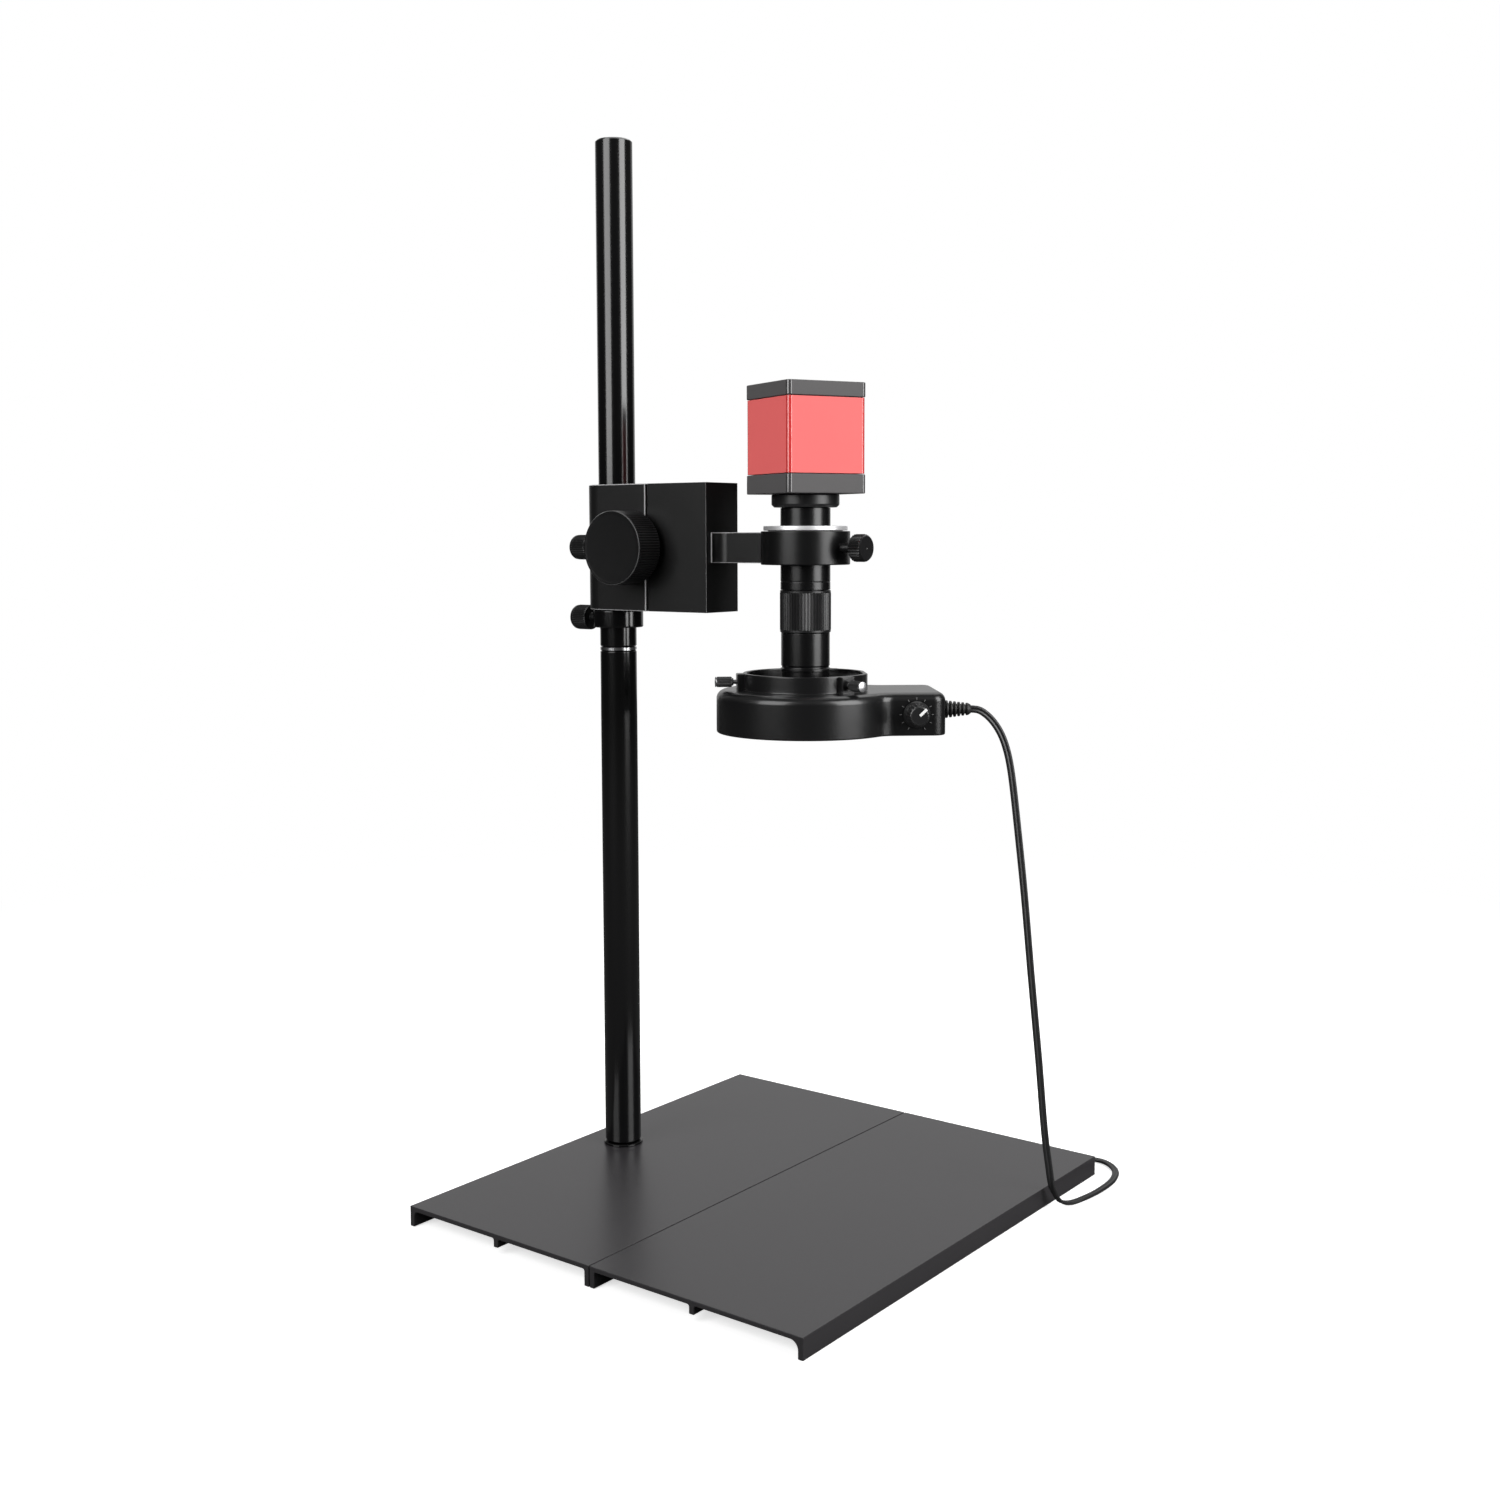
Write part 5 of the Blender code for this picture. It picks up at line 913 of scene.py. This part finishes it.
# Ring arm
# A flat bar that flares into the carriage on two hollow curves, and the ring that holds the lens,
# milled in one piece. A knurled knob clamps the lens from the front.
ARM_REACH = 0.1329
RING_RADIUS = 0.0237
RING_BORE = 0.0200
BAR_HALF = 0.0045
ROOT_HALF = 0.0106
ROOT_LAND = 0.0009
low, high = corners_of("ring_arm")
RING_LOW, RING_HIGH = low.z, high.z
BAR_HALF_HEIGHT = 0.0083
LOCK_TEETH = 28
LOCK_KNURL = 0.0006
LOCK_NEAR = 0.0026  # past the plain knob's near face
LOCK_LENGTH = 0.0075
LENS = Vector((0, POST.y - ARM_REACH, 0))

root = POST.y - CARRIAGE_FRONT - SLIDE_ROOM
flare = ROOT_HALF - BAR_HALF
side = [(ROOT_HALF, root)]
side += arc((ROOT_HALF, root - ROOT_LAND - flare), flare, 90, 180, 16)
side.append((BAR_HALF, LENS.y + RING_BORE + 0.0015))
bar_low, bar_high = BLOCK_MIDDLE - BAR_HALF_HEIGHT, BLOCK_MIDDLE + BAR_HALF_HEIGHT
bar = prism("arm_bar", mirrored(side), bar_low, bar_high)
fit(bar, block_black, "black_anodised", "carriage_body", "ring_arm")
# Its bevelled edges get the painted highlight
bevel(bar, 0.0004, worn=painted_edge_highlight)
section = rectangle(RING_BORE, RING_LOW, RING_RADIUS, RING_HIGH)
ring_colour = (0.003, 0.003, 0.0032)
ring_black = coated("ring anodised", ring_colour, 0.30, grain=0.00025, depth=0.12, shine=0.4)
ring = turned("arm_ring", rounded(section, 0.0006), 160, axis_at(LENS))
fit(ring, ring_black, "black_anodised", "carriage_body", "ring_arm")
low, high = corners_of("ring_lock_knob")
near = low.y + KNOB_LENGTH - LOCK_NEAR
profile = [
    (KNOB_SHANK, near - high.y, 0),
    (KNOB_SHANK, 0, 0),
    (KNOB_RADIUS - 0.0006, 0, 0),
    (KNOB_RADIUS, 0.0006, 1),
    (KNOB_RADIUS, LOCK_LENGTH - 0.0012, 1),
    (KNOB_RADIUS - 0.0004, LOCK_LENGTH - 0.0006, 0),
    (KNOB_RADIUS - 0.0009, LOCK_LENGTH, 0),
    (0.0008, LOCK_LENGTH, 0),
    (0.0002, LOCK_LENGTH - 0.0005, 0),
]
axis = axis_at((0, near, BLOCK_MIDDLE), (0, -1, 0))
lock = knurled("lens_lock_knob", profile, LOCK_TEETH, LOCK_KNURL, axis)
fit(lock, satin_black, "black_anodised", "ring_lock", "ring_lock_knob")

# Lens
# A slim zoom lens: a bright aluminium ring fits it to the arm, a knurled ring turns between the
# upper and lower barrels, and a fine flange stands proud above the plain nose.
BARREL = 0.01325
LOWER_BARREL = 0.01297
NOSE = 0.0125
FLANGE_RADIUS = 0.0133
ZOOM_RADIUS = 0.0136
ZOOM_TEETH = 50
ZOOM_KNURL = 0.00042
LENS_BORE = 0.0102
NOSE_BORE = 0.0088
ZOOM_SEAT = 0.0117
ZOOM_BORE = 0.0120
MOUNT_THREAD = 0.0125
barrel_black = lathed("lens anodised", (0.002, 0.002, 0.0022), 0.26, 0.0, 0.0003, 0.01, LENS[:2])
silver = lathed("turned aluminium", (0.84, 0.84, 0.85), 0.42, 0.75, 0.00025, 0.2, LENS[:2])

low, high = corners_of("adapter_ring")
seat = RING_HIGH + SLIDE_ROOM
radius = (high.x - low.x) / 2
inner, outer = BARREL + SLIDE_ROOM, RING_BORE - SLIDE_ROOM
section = [(inner, low.z), (outer, low.z), (outer, seat), (radius, seat), (radius, high.z)]
section += [(BARREL + 0.0012, high.z), (inner, high.z - 0.0008)]
adapter = turned("adapter_turned", rounded(section, 0.0004), 160, axis_at(LENS))
fit(adapter, silver, "turned_aluminium", "lens", "adapter_ring")

zoom_low, zoom_high = (corner.z for corner in corners_of("zoom_ring"))
low, high = corners_of("upper_barrel")
top = high.z - 0.0038
section = [
    (LENS_BORE, zoom_low + 0.001),
    (ZOOM_SEAT, zoom_low + 0.001),
    (ZOOM_SEAT, zoom_high + SLIDE_ROOM),
    (BARREL, zoom_high + SLIDE_ROOM),
    (BARREL, zoom_high + 0.0042),
    (BARREL - 0.00018, zoom_high + 0.0044),
    (BARREL - 0.00018, zoom_high + 0.0047),
    (BARREL, zoom_high + 0.0049),
    (BARREL, top),
    (MOUNT_THREAD, top),
    (MOUNT_THREAD, high.z),
    (LENS_BORE, high.z),
]
upper = turned("upper_barrel_turned", rounded(section, 0.0002), 128, axis_at(LENS))
fit(upper, barrel_black, "gloss_black", "lens", "upper_barrel")

low, high = corners_of("lower_barrel")
flange_low = low.z + 0.0103
section = [
    (NOSE_BORE, low.z),
    (NOSE, low.z),
    (NOSE, flange_low),
    (FLANGE_RADIUS, flange_low),
    (FLANGE_RADIUS, flange_low + 0.0014),
    (LOWER_BARREL - 0.0004, flange_low + 0.0018),
    (LOWER_BARREL - 0.0004, flange_low + 0.0026),
    (LOWER_BARREL, flange_low + 0.0030),
    (LOWER_BARREL, high.z),
    (ZOOM_BORE, high.z),
    (ZOOM_BORE, zoom_low - 0.006),
    (LENS_BORE, zoom_low - 0.006),
    (LENS_BORE, low.z + 0.0025),
    (NOSE_BORE, low.z + 0.0025),
]
lower = turned("lower_barrel_turned", rounded(section, 0.0002), 128, axis_at(LENS))
fit(lower, barrel_black, "gloss_black", "lens", "lower_barrel")

profile = [
    (ZOOM_BORE, zoom_low, 0),
    (ZOOM_RADIUS - 0.0004, zoom_low, 0),
    (ZOOM_RADIUS - 0.0001, zoom_low + 0.0003, 0),
    (ZOOM_RADIUS - 0.0001, zoom_low + 0.0012, 0),
    (ZOOM_RADIUS, zoom_low + 0.0015, 1),
    (ZOOM_RADIUS, zoom_high - 0.0015, 1),
    (ZOOM_RADIUS - 0.0001, zoom_high - 0.0012, 0),
    (ZOOM_RADIUS - 0.0001, zoom_high - 0.0003, 0),
    (ZOOM_RADIUS - 0.0004, zoom_high, 0),
    (ZOOM_BORE, zoom_high, 0),
]
zoom = knurled("zoom_ring_knurled", profile, ZOOM_TEETH, ZOOM_KNURL, axis_at(LENS), closed=True)
fit(zoom, satin_black, "black_anodised", "zoom", "zoom_ring")

glass = coated("coated glass", (0.010, 0.014, 0.022), 0.04, 0.0, grain=0.01, depth=0.0, coat=1.0)
glass.node_tree.nodes["Principled BSDF"].inputs["Coat Tint"].default_value = (0.55, 0.70, 1.0, 1)
low, high = corners_of("front_lens")
radius = (high.x - low.x) / 2
section = [(0, low.z)]
section += [(radius * k / 12, low.z + 0.0009 * (k / 12) ** 2) for k in range(1, 13)]
section += [(radius, high.z), (0, high.z)]
front_glass = turned("front_glass", section, 96, axis_at(LENS))
fit(front_glass, glass, "coated_glass", "lens", "front_lens")
cad_dress(glass, "coated_glass", "rear_lens", "zoom_lens", "image_sensor")
cad_dress(satin_black, "black_anodised", "zoom_cell")

# Camera head
# A square head turned a little on the lens: a red anodised shell between two dark grey caps, on a
# round black flange. The sockets are in the top cap, and each cap has four screws.
HEAD_TURN = math.radians(-25)
HEAD_HALF = 0.0235
SHELL_HALF = 0.0232
HEAD_CORNER = 0.0022
HEAD_SCREWS = 0.0188
HEAD_AXIS = Matrix.Translation(LENS) @ Matrix.Rotation(HEAD_TURN, 4, "Z")
CORNER_FACE = 0.0001  # m2, above every face of the rounded corners and below the flat sides
SINK_DEPTH = 0.0014
SCREW_SEAT = 0.0013
SINK_RADIUS = 0.0026
SOCKET_DEPTH = 0.006
SOCKET_ROOM = 0.0003
SOCKETS = ((0.0, -0.0110, 0.0150, 0.0056), (-0.0080, 0.0105, 0.0080, 0.0034))  # place and size
JACK = (0.0095, 0.0100, 0.0042)  # place and radius
LENS_HOLE = (0.0128, 0.0055)  # radius and depth


def head_outline(half):
    inner = half - HEAD_CORNER
    centres = ((inner, inner, 0), (-inner, inner, 90), (-inner, -inner, 180), (inner, -inner, 270))
    points = []
    for x, y, start in centres:
        points += arc((x, y), HEAD_CORNER, start, start + 90, 8)
    return points


cap_grey = coated("grey anodised", (0.098, 0.095, 0.096), 0.50, depth=0.25, mottle=0.05, shine=0.12)
# The corners' own finish is smoother, with a clear coat; their darker colour is painted shade along
# the corners
cap_corner_gloss_and_shade = coated("grey corner", (0.050, 0.048, 0.049), 0.20, depth=0.05, coat=1.0)
shell_red = coated("red anodised", (0.83, 0.15, 0.147), 0.42, depth=0.18, mottle=0.04, shine=0.12)
shell_corner_gloss_and_shade = coated("red corner", (0.60, 0.035, 0.034), 0.20, depth=0.05, coat=1.0)
corners = [(x * HEAD_SCREWS, y * HEAD_SCREWS) for x in (-1, 1) for y in (-1, 1)]


def head_part(name, node, half, edge, sides, corner, slot, rods=(), blocks=()):
    """A square part of the head. Its rounded corners are smoother than its blasted sides, and painted
    darker as painted shade.
    """
    low, high = corners_of(node)
    part = prism(name, head_outline(half), low.z, high.z, HEAD_AXIS)
    if rods:
        cut_holes(part, rods, blocks)
    bevel(part, edge)
    fit(part, sides, slot, "camera_head", node)
    # The small corner faces take the smoother material, painted darker as shade
    part.data.materials.append(corner)
    for face in part.data.polygons:
        if face.area < CORNER_FACE:
            face.material_index = 1


def head_hole(x, y, low, high, radius):
    return HEAD_AXIS @ Vector((x, y, low)), HEAD_AXIS @ Vector((x, y, high)), radius


cap_low, top_high = corners_of("head_bottom_cap")[0].z, corners_of("head_top_cap")[1].z
below, above = cap_low - CUT_BEYOND, top_high + CUT_BEYOND
cap_looks = (HEAD_HALF, 0.0005, cap_grey, cap_corner_gloss_and_shade, "dark_grey")
holes = [head_hole(x, y, below, cap_low + SINK_DEPTH, SINK_RADIUS) for x, y in corners]
holes.append(head_hole(0, 0, below, cap_low + LENS_HOLE[1], LENS_HOLE[0]))
head_part("bottom_cap_milled", "head_bottom_cap", *cap_looks, holes)

shell_looks = (SHELL_HALF, 0.0002, shell_red, shell_corner_gloss_and_shade, "red_anodised")
head_part("shell_extruded", "head_shell", *shell_looks)

holes = [head_hole(x, y, top_high - SINK_DEPTH, above, SINK_RADIUS) for x, y in corners]
holes.append(head_hole(*JACK[:2], top_high - SOCKET_DEPTH, above, JACK[2]))
pockets = []
for x, y, wide, deep in SOCKETS:
    half_x, half_y = wide / 2 + SOCKET_ROOM, deep / 2 + SOCKET_ROOM
    lowest = (x - half_x, y - half_y, top_high - SOCKET_DEPTH)
    pockets.append((lowest, (x + half_x, y + half_y, above), HEAD_AXIS))
head_part("top_cap_milled", "head_top_cap", *cap_looks, holes, pockets)

screw_head = [(0, -0.0002), (0.0011, -0.0002), (0.0012, 0.0009), (0.0021, 0.0009), (0.0023, 0.0006)]
screw_head += [(0.0023, -0.0006), (0, -0.0006)]
for number, (x, y) in enumerate(corners, 1):
    for end, height, way in (("top", top_high - SCREW_SEAT, 1), ("bottom", cap_low + SCREW_SEAT, -1)):
        axis = HEAD_AXIS @ axis_at((x, y, height), (0, 0, way))
        screw = turned(f"{end}_cap_screw_{number}", rounded(screw_head, 0.0002, 2), 32, axis)
        fit(screw, screw_black, "bright_steel", "camera_head")

MOUNT_CHAMFER = 0.0014
MOUNT_HOLE = math.radians(148)
MOUNT_BORE = 0.0128
low, high = corners_of("mount_ring")
radius = (high.x - low.x) / 2
section = [(MOUNT_BORE, high.z), (MOUNT_BORE, low.z), (radius - MOUNT_CHAMFER, low.z)]
section += [(radius, low.z + MOUNT_CHAMFER), (radius, high.z - 0.0004), (radius - 0.0004, high.z)]
mount = turned("mount_flange", rounded(section, 0.0003), 160, axis_at(LENS))
mount.modifiers.clear()  # cutting fixes them in the mesh, and the shading is evened after it
side = Vector((math.cos(MOUNT_HOLE), math.sin(MOUNT_HOLE), 0))
middle = LENS + Vector((0, 0, high.z - 0.0028))
cut_holes(mount, [(middle + side * (radius - 0.0015), middle + side * (radius + 0.002), 0.0008)])
even_shading(mount)
fit(mount, satin_black, "black_anodised", "camera_head", "mount_ring")
board_green = coated("board", (0.015, 0.085, 0.040), 0.35, grain=0.001, depth=0.1)
cad_dress(board_green, "board_green", "sensor_board", "main_board", "driver_board")
cad_dress(plug_steel, "bright_steel", "hdmi_socket", "usb_socket")

# Ring light housing
# One black moulding with a fine spark-eroded grain: a ring with a rounded shoulder and a low
# collar, and the control box that grows out of its side on two hollow curves.
LIGHT_PLACE = (LENS.x, LENS.y, corners_of("light_housing")[0].z)
LIGHT_TURN = math.radians(-50)
LIGHT_AXIS = Matrix.Translation(LIGHT_PLACE) @ Matrix.Rotation(LIGHT_TURN, 4, "Z")
LIGHT_FOOT = 0.0008  # radius of the lower edge
LIGHT_HEIGHT = 0.0225
LIGHT_RADIUS = 0.0475
LIGHT_SHOULDER = 0.0045
LIGHT_WALL = 0.0022
INNER_WALL = 0.0016
LIGHT_OPENING = 0.0314
LIGHT_COLLAR = 0.0335
COLLAR_TOP = 0.0315
BOX_REACH = 0.0720
BOX_HALF = 0.0270
BOX_CORNER = 0.0070
BOX_BLEND = 0.0120
BOX_LEVEL = LIGHT_HEIGHT / 2


def light_outline(smaller):
    """The housing from above, moved inwards. +X runs along the control box."""
    radius, half, reach = LIGHT_RADIUS - smaller, BOX_HALF - smaller, BOX_REACH - smaller
    corner, blend = BOX_CORNER - smaller, BOX_BLEND + smaller
    blend_y = half + blend
    blend_x = math.sqrt((radius + blend) ** 2 - blend_y**2)
    lean = math.degrees(math.atan2(blend_y, blend_x))
    outline = arc((reach - corner, -half + corner), corner, -90, 0, 12)
    outline += arc((reach - corner, half - corner), corner, 0, 90, 12)
    outline += arc((blend_x, blend_y), blend, 270, 180 + lean, 12)
    outline += arc((0, 0), radius, lean, 360 - lean, 110)[1:-1]
    outline += arc((blend_x, -blend_y), blend, 180 - lean, 90, 12)
    return outline


def round_ring(radius, height):
    """A circle with one point beside each point of the housing's outline."""
    return [Vector((*(Vector(p).normalized() * radius), height)) for p in light_outline(0)]


rings = []
for k in range(5):
    angle = math.radians(90 * k / 4)
    smaller = LIGHT_FOOT * (1 - math.sin(angle))
    rings.append(raised(light_outline(smaller), LIGHT_FOOT * (1 - math.cos(angle))))
for k in range(13):
    angle = math.radians(90 * k / 12)
    smaller = LIGHT_SHOULDER * (1 - math.cos(angle))
    height = LIGHT_HEIGHT - LIGHT_SHOULDER * (1 - math.sin(angle))
    rings.append(raised(light_outline(smaller), height))
inner_wall = LIGHT_OPENING + INNER_WALL
profile = [(LIGHT_COLLAR + 0.0020, LIGHT_HEIGHT), (LIGHT_COLLAR, LIGHT_HEIGHT)]
profile += [(LIGHT_COLLAR, COLLAR_TOP), (LIGHT_OPENING, COLLAR_TOP), (LIGHT_OPENING, LIGHT_FOOT)]
profile += [(inner_wall, LIGHT_FOOT), (inner_wall, LIGHT_HEIGHT - LIGHT_WALL)]
rings += [round_ring(radius, height) for radius, height in rounded(profile, 0.0006)]
under, ease_in = LIGHT_HEIGHT - LIGHT_WALL, LIGHT_SHOULDER * 0.6
rings.append(raised(light_outline(LIGHT_WALL + ease_in), under))
rings.append(raised(light_outline(LIGHT_WALL), under - ease_in))
rings.append(raised(light_outline(LIGHT_WALL), 0))
bm = bmesh.new()
skin(bm, rings, closed=True)
bm.transform(LIGHT_AXIS)
housing = new_piece("light_housing_moulded", bm, 38)
even_shading(housing)
case_colour = (0.0045, 0.0045, 0.0048)
case_black = coated("case plastic", case_colour, 0.30, 0, 0.00045, 0.3, coat=0.3, shine=0.4)
fit(housing, case_black, "black_plastic", "ring_light", "light_housing")

BOSS_HALF = 0.0042
BOSS_DEPTH = 0.0034
BOSS_TOP = LIGHT_HEIGHT + 0.0088
THUMB_ANGLES = [math.radians(-57) + math.tau * k / 3 for k in range(3)]
outline = rectangle(LIGHT_COLLAR - 0.0010, -BOSS_HALF, LIGHT_COLLAR + BOSS_DEPTH, BOSS_HALF)
for number, angle in enumerate(THUMB_ANGLES, 1):
    axis = LIGHT_AXIS @ Matrix.Rotation(angle, 4, "Z")
    boss = prism(f"screw_boss_{number}", outline, LIGHT_HEIGHT - 0.0005, BOSS_TOP, axis)
    bevel(boss, 0.0006)
    fit(boss, case_black, "black_plastic", "ring_light", "light_housing")
cad_dress(case_black, "black_plastic", "box_cover", "power_jack")

# Lamps
# A white ring board with two rows of clear round lamps, seen from below through the open ring.
LAMP_ROWS = ((0.0368, 24), (0.0423, 28))
LAMP_RADIUS = 0.0023
LAMP_DOME = ((1, 0), (1, 0.0011), (0.92, 0.0019), (0.70, 0.0027), (0.38, 0.0031), (0.05, 0.0032))
BOARD_INNER, BOARD_OUTER = 0.0335, 0.0450
BOARD_THICKNESS = 0.0016
board_high = corners_of("led_board")[1].z
board_low = board_high - BOARD_THICKNESS
section = rectangle(BOARD_INNER, board_low, BOARD_OUTER, board_high)
board = turned("lamp_board", section, 128, axis_at(LENS))
board_white = coated("white board", (0.78, 0.78, 0.75), 0.45, grain=0.001, depth=0.05)
fit(board, board_white, "white_board", "ring_light", "led_board")
lamp_clear, shader, add, join = new_material("clear lamp")
shader.inputs["Base Color"].default_value = (0.93, 0.92, 0.84, 1)
shader.inputs["Roughness"].default_value = 0.06
shader.inputs["Coat Weight"].default_value = 0.6
shader.inputs["Subsurface Weight"].default_value = 0.2
shader.inputs["Subsurface Scale"].default_value = 0.002
bm = bmesh.new()
for radius, count in LAMP_ROWS:
    for place in circle(radius, count, board_low):
        rings = [circle(LAMP_RADIUS * share, 20, -drop) for share, drop in LAMP_DOME]
        skin(bm, [[LENS + place + p for p in ring] for ring in rings])
lamps = new_piece("lamp_domes", bm, 50)
fit(lamps, lamp_clear, "white_board", "ring_light", "led_board")

# Brightness dial
# A moulded dial on the box's long side: a plain skirt, a fluted cap and a white pointer, with
# short printed marks round it.
DIAL_ALONG = 0.0560
DIAL_SKIRT = 0.0070
DIAL_CAP = 0.0057
DIAL_LENGTH = 0.0105
DIAL_TEETH = 18
DIAL_FLUTE = 0.0005
MARKS = 11
MARK_STEP = math.radians(30)
DIAL_AXIS = LIGHT_AXIS @ axis_at((DIAL_ALONG, -BOX_HALF - 0.0003, BOX_LEVEL), (0, -1, 0))
profile = [
    (DIAL_SKIRT - 0.0002, 0, 0),
    (DIAL_SKIRT, 0.0003, 0),
    (DIAL_SKIRT, 0.0012, 0),
    (DIAL_SKIRT - 0.0003, 0.0018, 0),
    (DIAL_CAP + 0.0003, 0.0024, 0),
    (DIAL_CAP + 0.0001, 0.0030, 1),
    (DIAL_CAP - 0.0003, DIAL_LENGTH - 0.0008, 1),
    (DIAL_CAP - 0.0007, DIAL_LENGTH - 0.0003, 0.5),
    (DIAL_CAP - 0.0013, DIAL_LENGTH, 0),
    (DIAL_CAP - 0.0024, DIAL_LENGTH - 0.0002, 0),
]
dial = knurled("dial_moulded", profile, DIAL_TEETH, DIAL_FLUTE, DIAL_AXIS)
dial_black = coated("dial plastic", (0.0115, 0.0115, 0.012), 0.28, grain=0.0006, depth=0.1)
fit(dial, dial_black, "black_plastic", "dial", "brightness_dial")
print_white = coated("white print", (0.80, 0.80, 0.79), 0.5, grain=0.001, depth=0.02)
print_grey = coated("grey print", (0.16, 0.16, 0.16), 0.5, grain=0.001, depth=0.02)

# Upwards and along the box, in the dial's own frame. The pointer stands midway between them
to_dial = DIAL_AXIS.to_3x3().inverted()
up_side = (to_dial @ Vector((0, 0, 1))).normalized()
to_end = (to_dial @ (LIGHT_AXIS.to_3x3() @ Vector((1, 0, 0)))).normalized()
pointing = math.atan2(up_side.y + to_end.y, up_side.x + to_end.x)
upwards = math.atan2(up_side.y, up_side.x)
pointer_axis = DIAL_AXIS @ Matrix.Rotation(pointing, 4, "Z")
bm = bmesh.new()
pointer_near = (0.0004, -0.0007, DIAL_LENGTH - 0.0003)
pointer_far = (0.0053, 0.0007, DIAL_LENGTH + 0.00006)
block(bm, pointer_near, pointer_far, pointer_axis)
pointer = new_piece("dial_pointer", bm)
fit(pointer, print_white, "white_board", "dial", "brightness_dial")
bm = bmesh.new()
mark_near = (DIAL_SKIRT + 0.0008, -0.00016, 0.0)
mark_far = (DIAL_SKIRT + 0.0020, 0.00016, 0.00034)
for k in range(MARKS):
    turn = upwards + MARK_STEP * (k - MARKS // 2)
    block(bm, mark_near, mark_far, DIAL_AXIS @ Matrix.Rotation(turn, 4, "Z"))
marks = new_piece("dial_marks", bm)
fit(marks, print_grey, "black_plastic", "ring_light", "light_housing")
cad_dress(zinc, "bright_steel", "dial_potentiometer")

# Strain relief
# A black rubber boot in the box's end wall, tapered, with deep ribs that let it bend.
BOOT_LENGTH = 0.0155
BOOT_FLANGE = 0.0022
BOOT_RIBS = 6
BOOT_LIP = 0.0013
BOOT_AXIS = LIGHT_AXIS @ axis_at((BOX_REACH, 0, BOX_LEVEL), (1, 0, 0))
section = [(0, -0.0010), (0.0038, -0.0010), (0.0038, 0.0001), (0.0053, 0.0001)]
section += [(0.0053, BOOT_FLANGE - 0.0004), (0.0048, BOOT_FLANGE)]
step = (BOOT_LENGTH - BOOT_FLANGE) / BOOT_RIBS
for k in range(BOOT_RIBS):
    share = k / (BOOT_RIBS - 1)
    rib, waist, foot = 0.0048 - 0.0014 * share, 0.0033 - 0.0008 * share, BOOT_FLANGE + k * step
    section += [(waist, foot + 0.10 * step), (waist, foot + 0.38 * step)]
    section += [(rib, foot + 0.50 * step), (rib - 0.0001, foot + 0.95 * step)]
section += [(0.0024, BOOT_LENGTH + BOOT_LIP), (0, BOOT_LENGTH + BOOT_LIP)]
boot = turned("ribbed_boot", rounded(section, 0.00018, 2), 64, BOOT_AXIS)
rubber = coated("boot rubber", (0.011, 0.011, 0.011), 0.48, grain=0.0007, depth=0.2)
fit(boot, rubber, "black_rubber", "ring_light", "strain_relief")

# Thumb screws
# Three steel screws through the collar's bosses, each with a knurled black grip and a polished
# end. Their tips press on the lens's nose.
THUMB_NEAR = 0.0395
THUMB_LENGTH = 0.0080
THUMB_RADIUS = 0.0028
THUMB_SHANK = 0.0012
THUMB_TEETH = 22
THUMB_KNURL = 0.00028
THUMB_END = 0.0027
THUMB_LEVEL = LIGHT_HEIGHT + 0.0044
polished = coated("polished steel", (0.48, 0.48, 0.49), 0.34, metallic=1.0, grain=0.001, depth=0.03)
grip_black = coated("blacked grip", (0.10, 0.10, 0.102), 0.36, metallic=0.8, grain=0.0004, depth=0.1)
for number, angle in enumerate(THUMB_ANGLES, 1):
    node = f"thumb_screw_{number}"
    ray = Vector((math.cos(angle), math.sin(angle), 0))
    axis = LIGHT_AXIS @ axis_at(ray * THUMB_NEAR + Vector((0, 0, THUMB_LEVEL)), ray)
    profile = [
        (THUMB_SHANK, -0.0008, 0),
        (0.0020, -0.0008, 0),
        (0.0020, 0, 0),
        (THUMB_RADIUS - 0.0003, 0, 0),
        (THUMB_RADIUS, 0.0004, 1),
        (THUMB_RADIUS, THUMB_LENGTH - 0.0004, 1),
        (THUMB_RADIUS - 0.0003, THUMB_LENGTH, 0),
        (THUMB_SHANK, THUMB_LENGTH, 0),
    ]
    grip = knurled(f"thumb_grip_{number}", profile, THUMB_TEETH, THUMB_KNURL, axis)
    fit(grip, grip_black, "bright_steel", f"thumb_{number}", node)
    tip = -(THUMB_NEAR - NOSE - 0.0003)
    section = [(0, tip), (THUMB_SHANK - 0.0003, tip), (THUMB_SHANK, tip + 0.0004)]
    section += [(THUMB_SHANK, THUMB_LENGTH + 0.0002), (THUMB_END, THUMB_LENGTH + 0.0002)]
    section += [(THUMB_END, THUMB_LENGTH + 0.0008), (0, THUMB_LENGTH + 0.0011)]
    screw = turned(f"thumb_shank_{number}", rounded(section, 0.0002, 2), 48, axis)
    fit(screw, polished, "bright_steel", f"thumb_{number}", node)
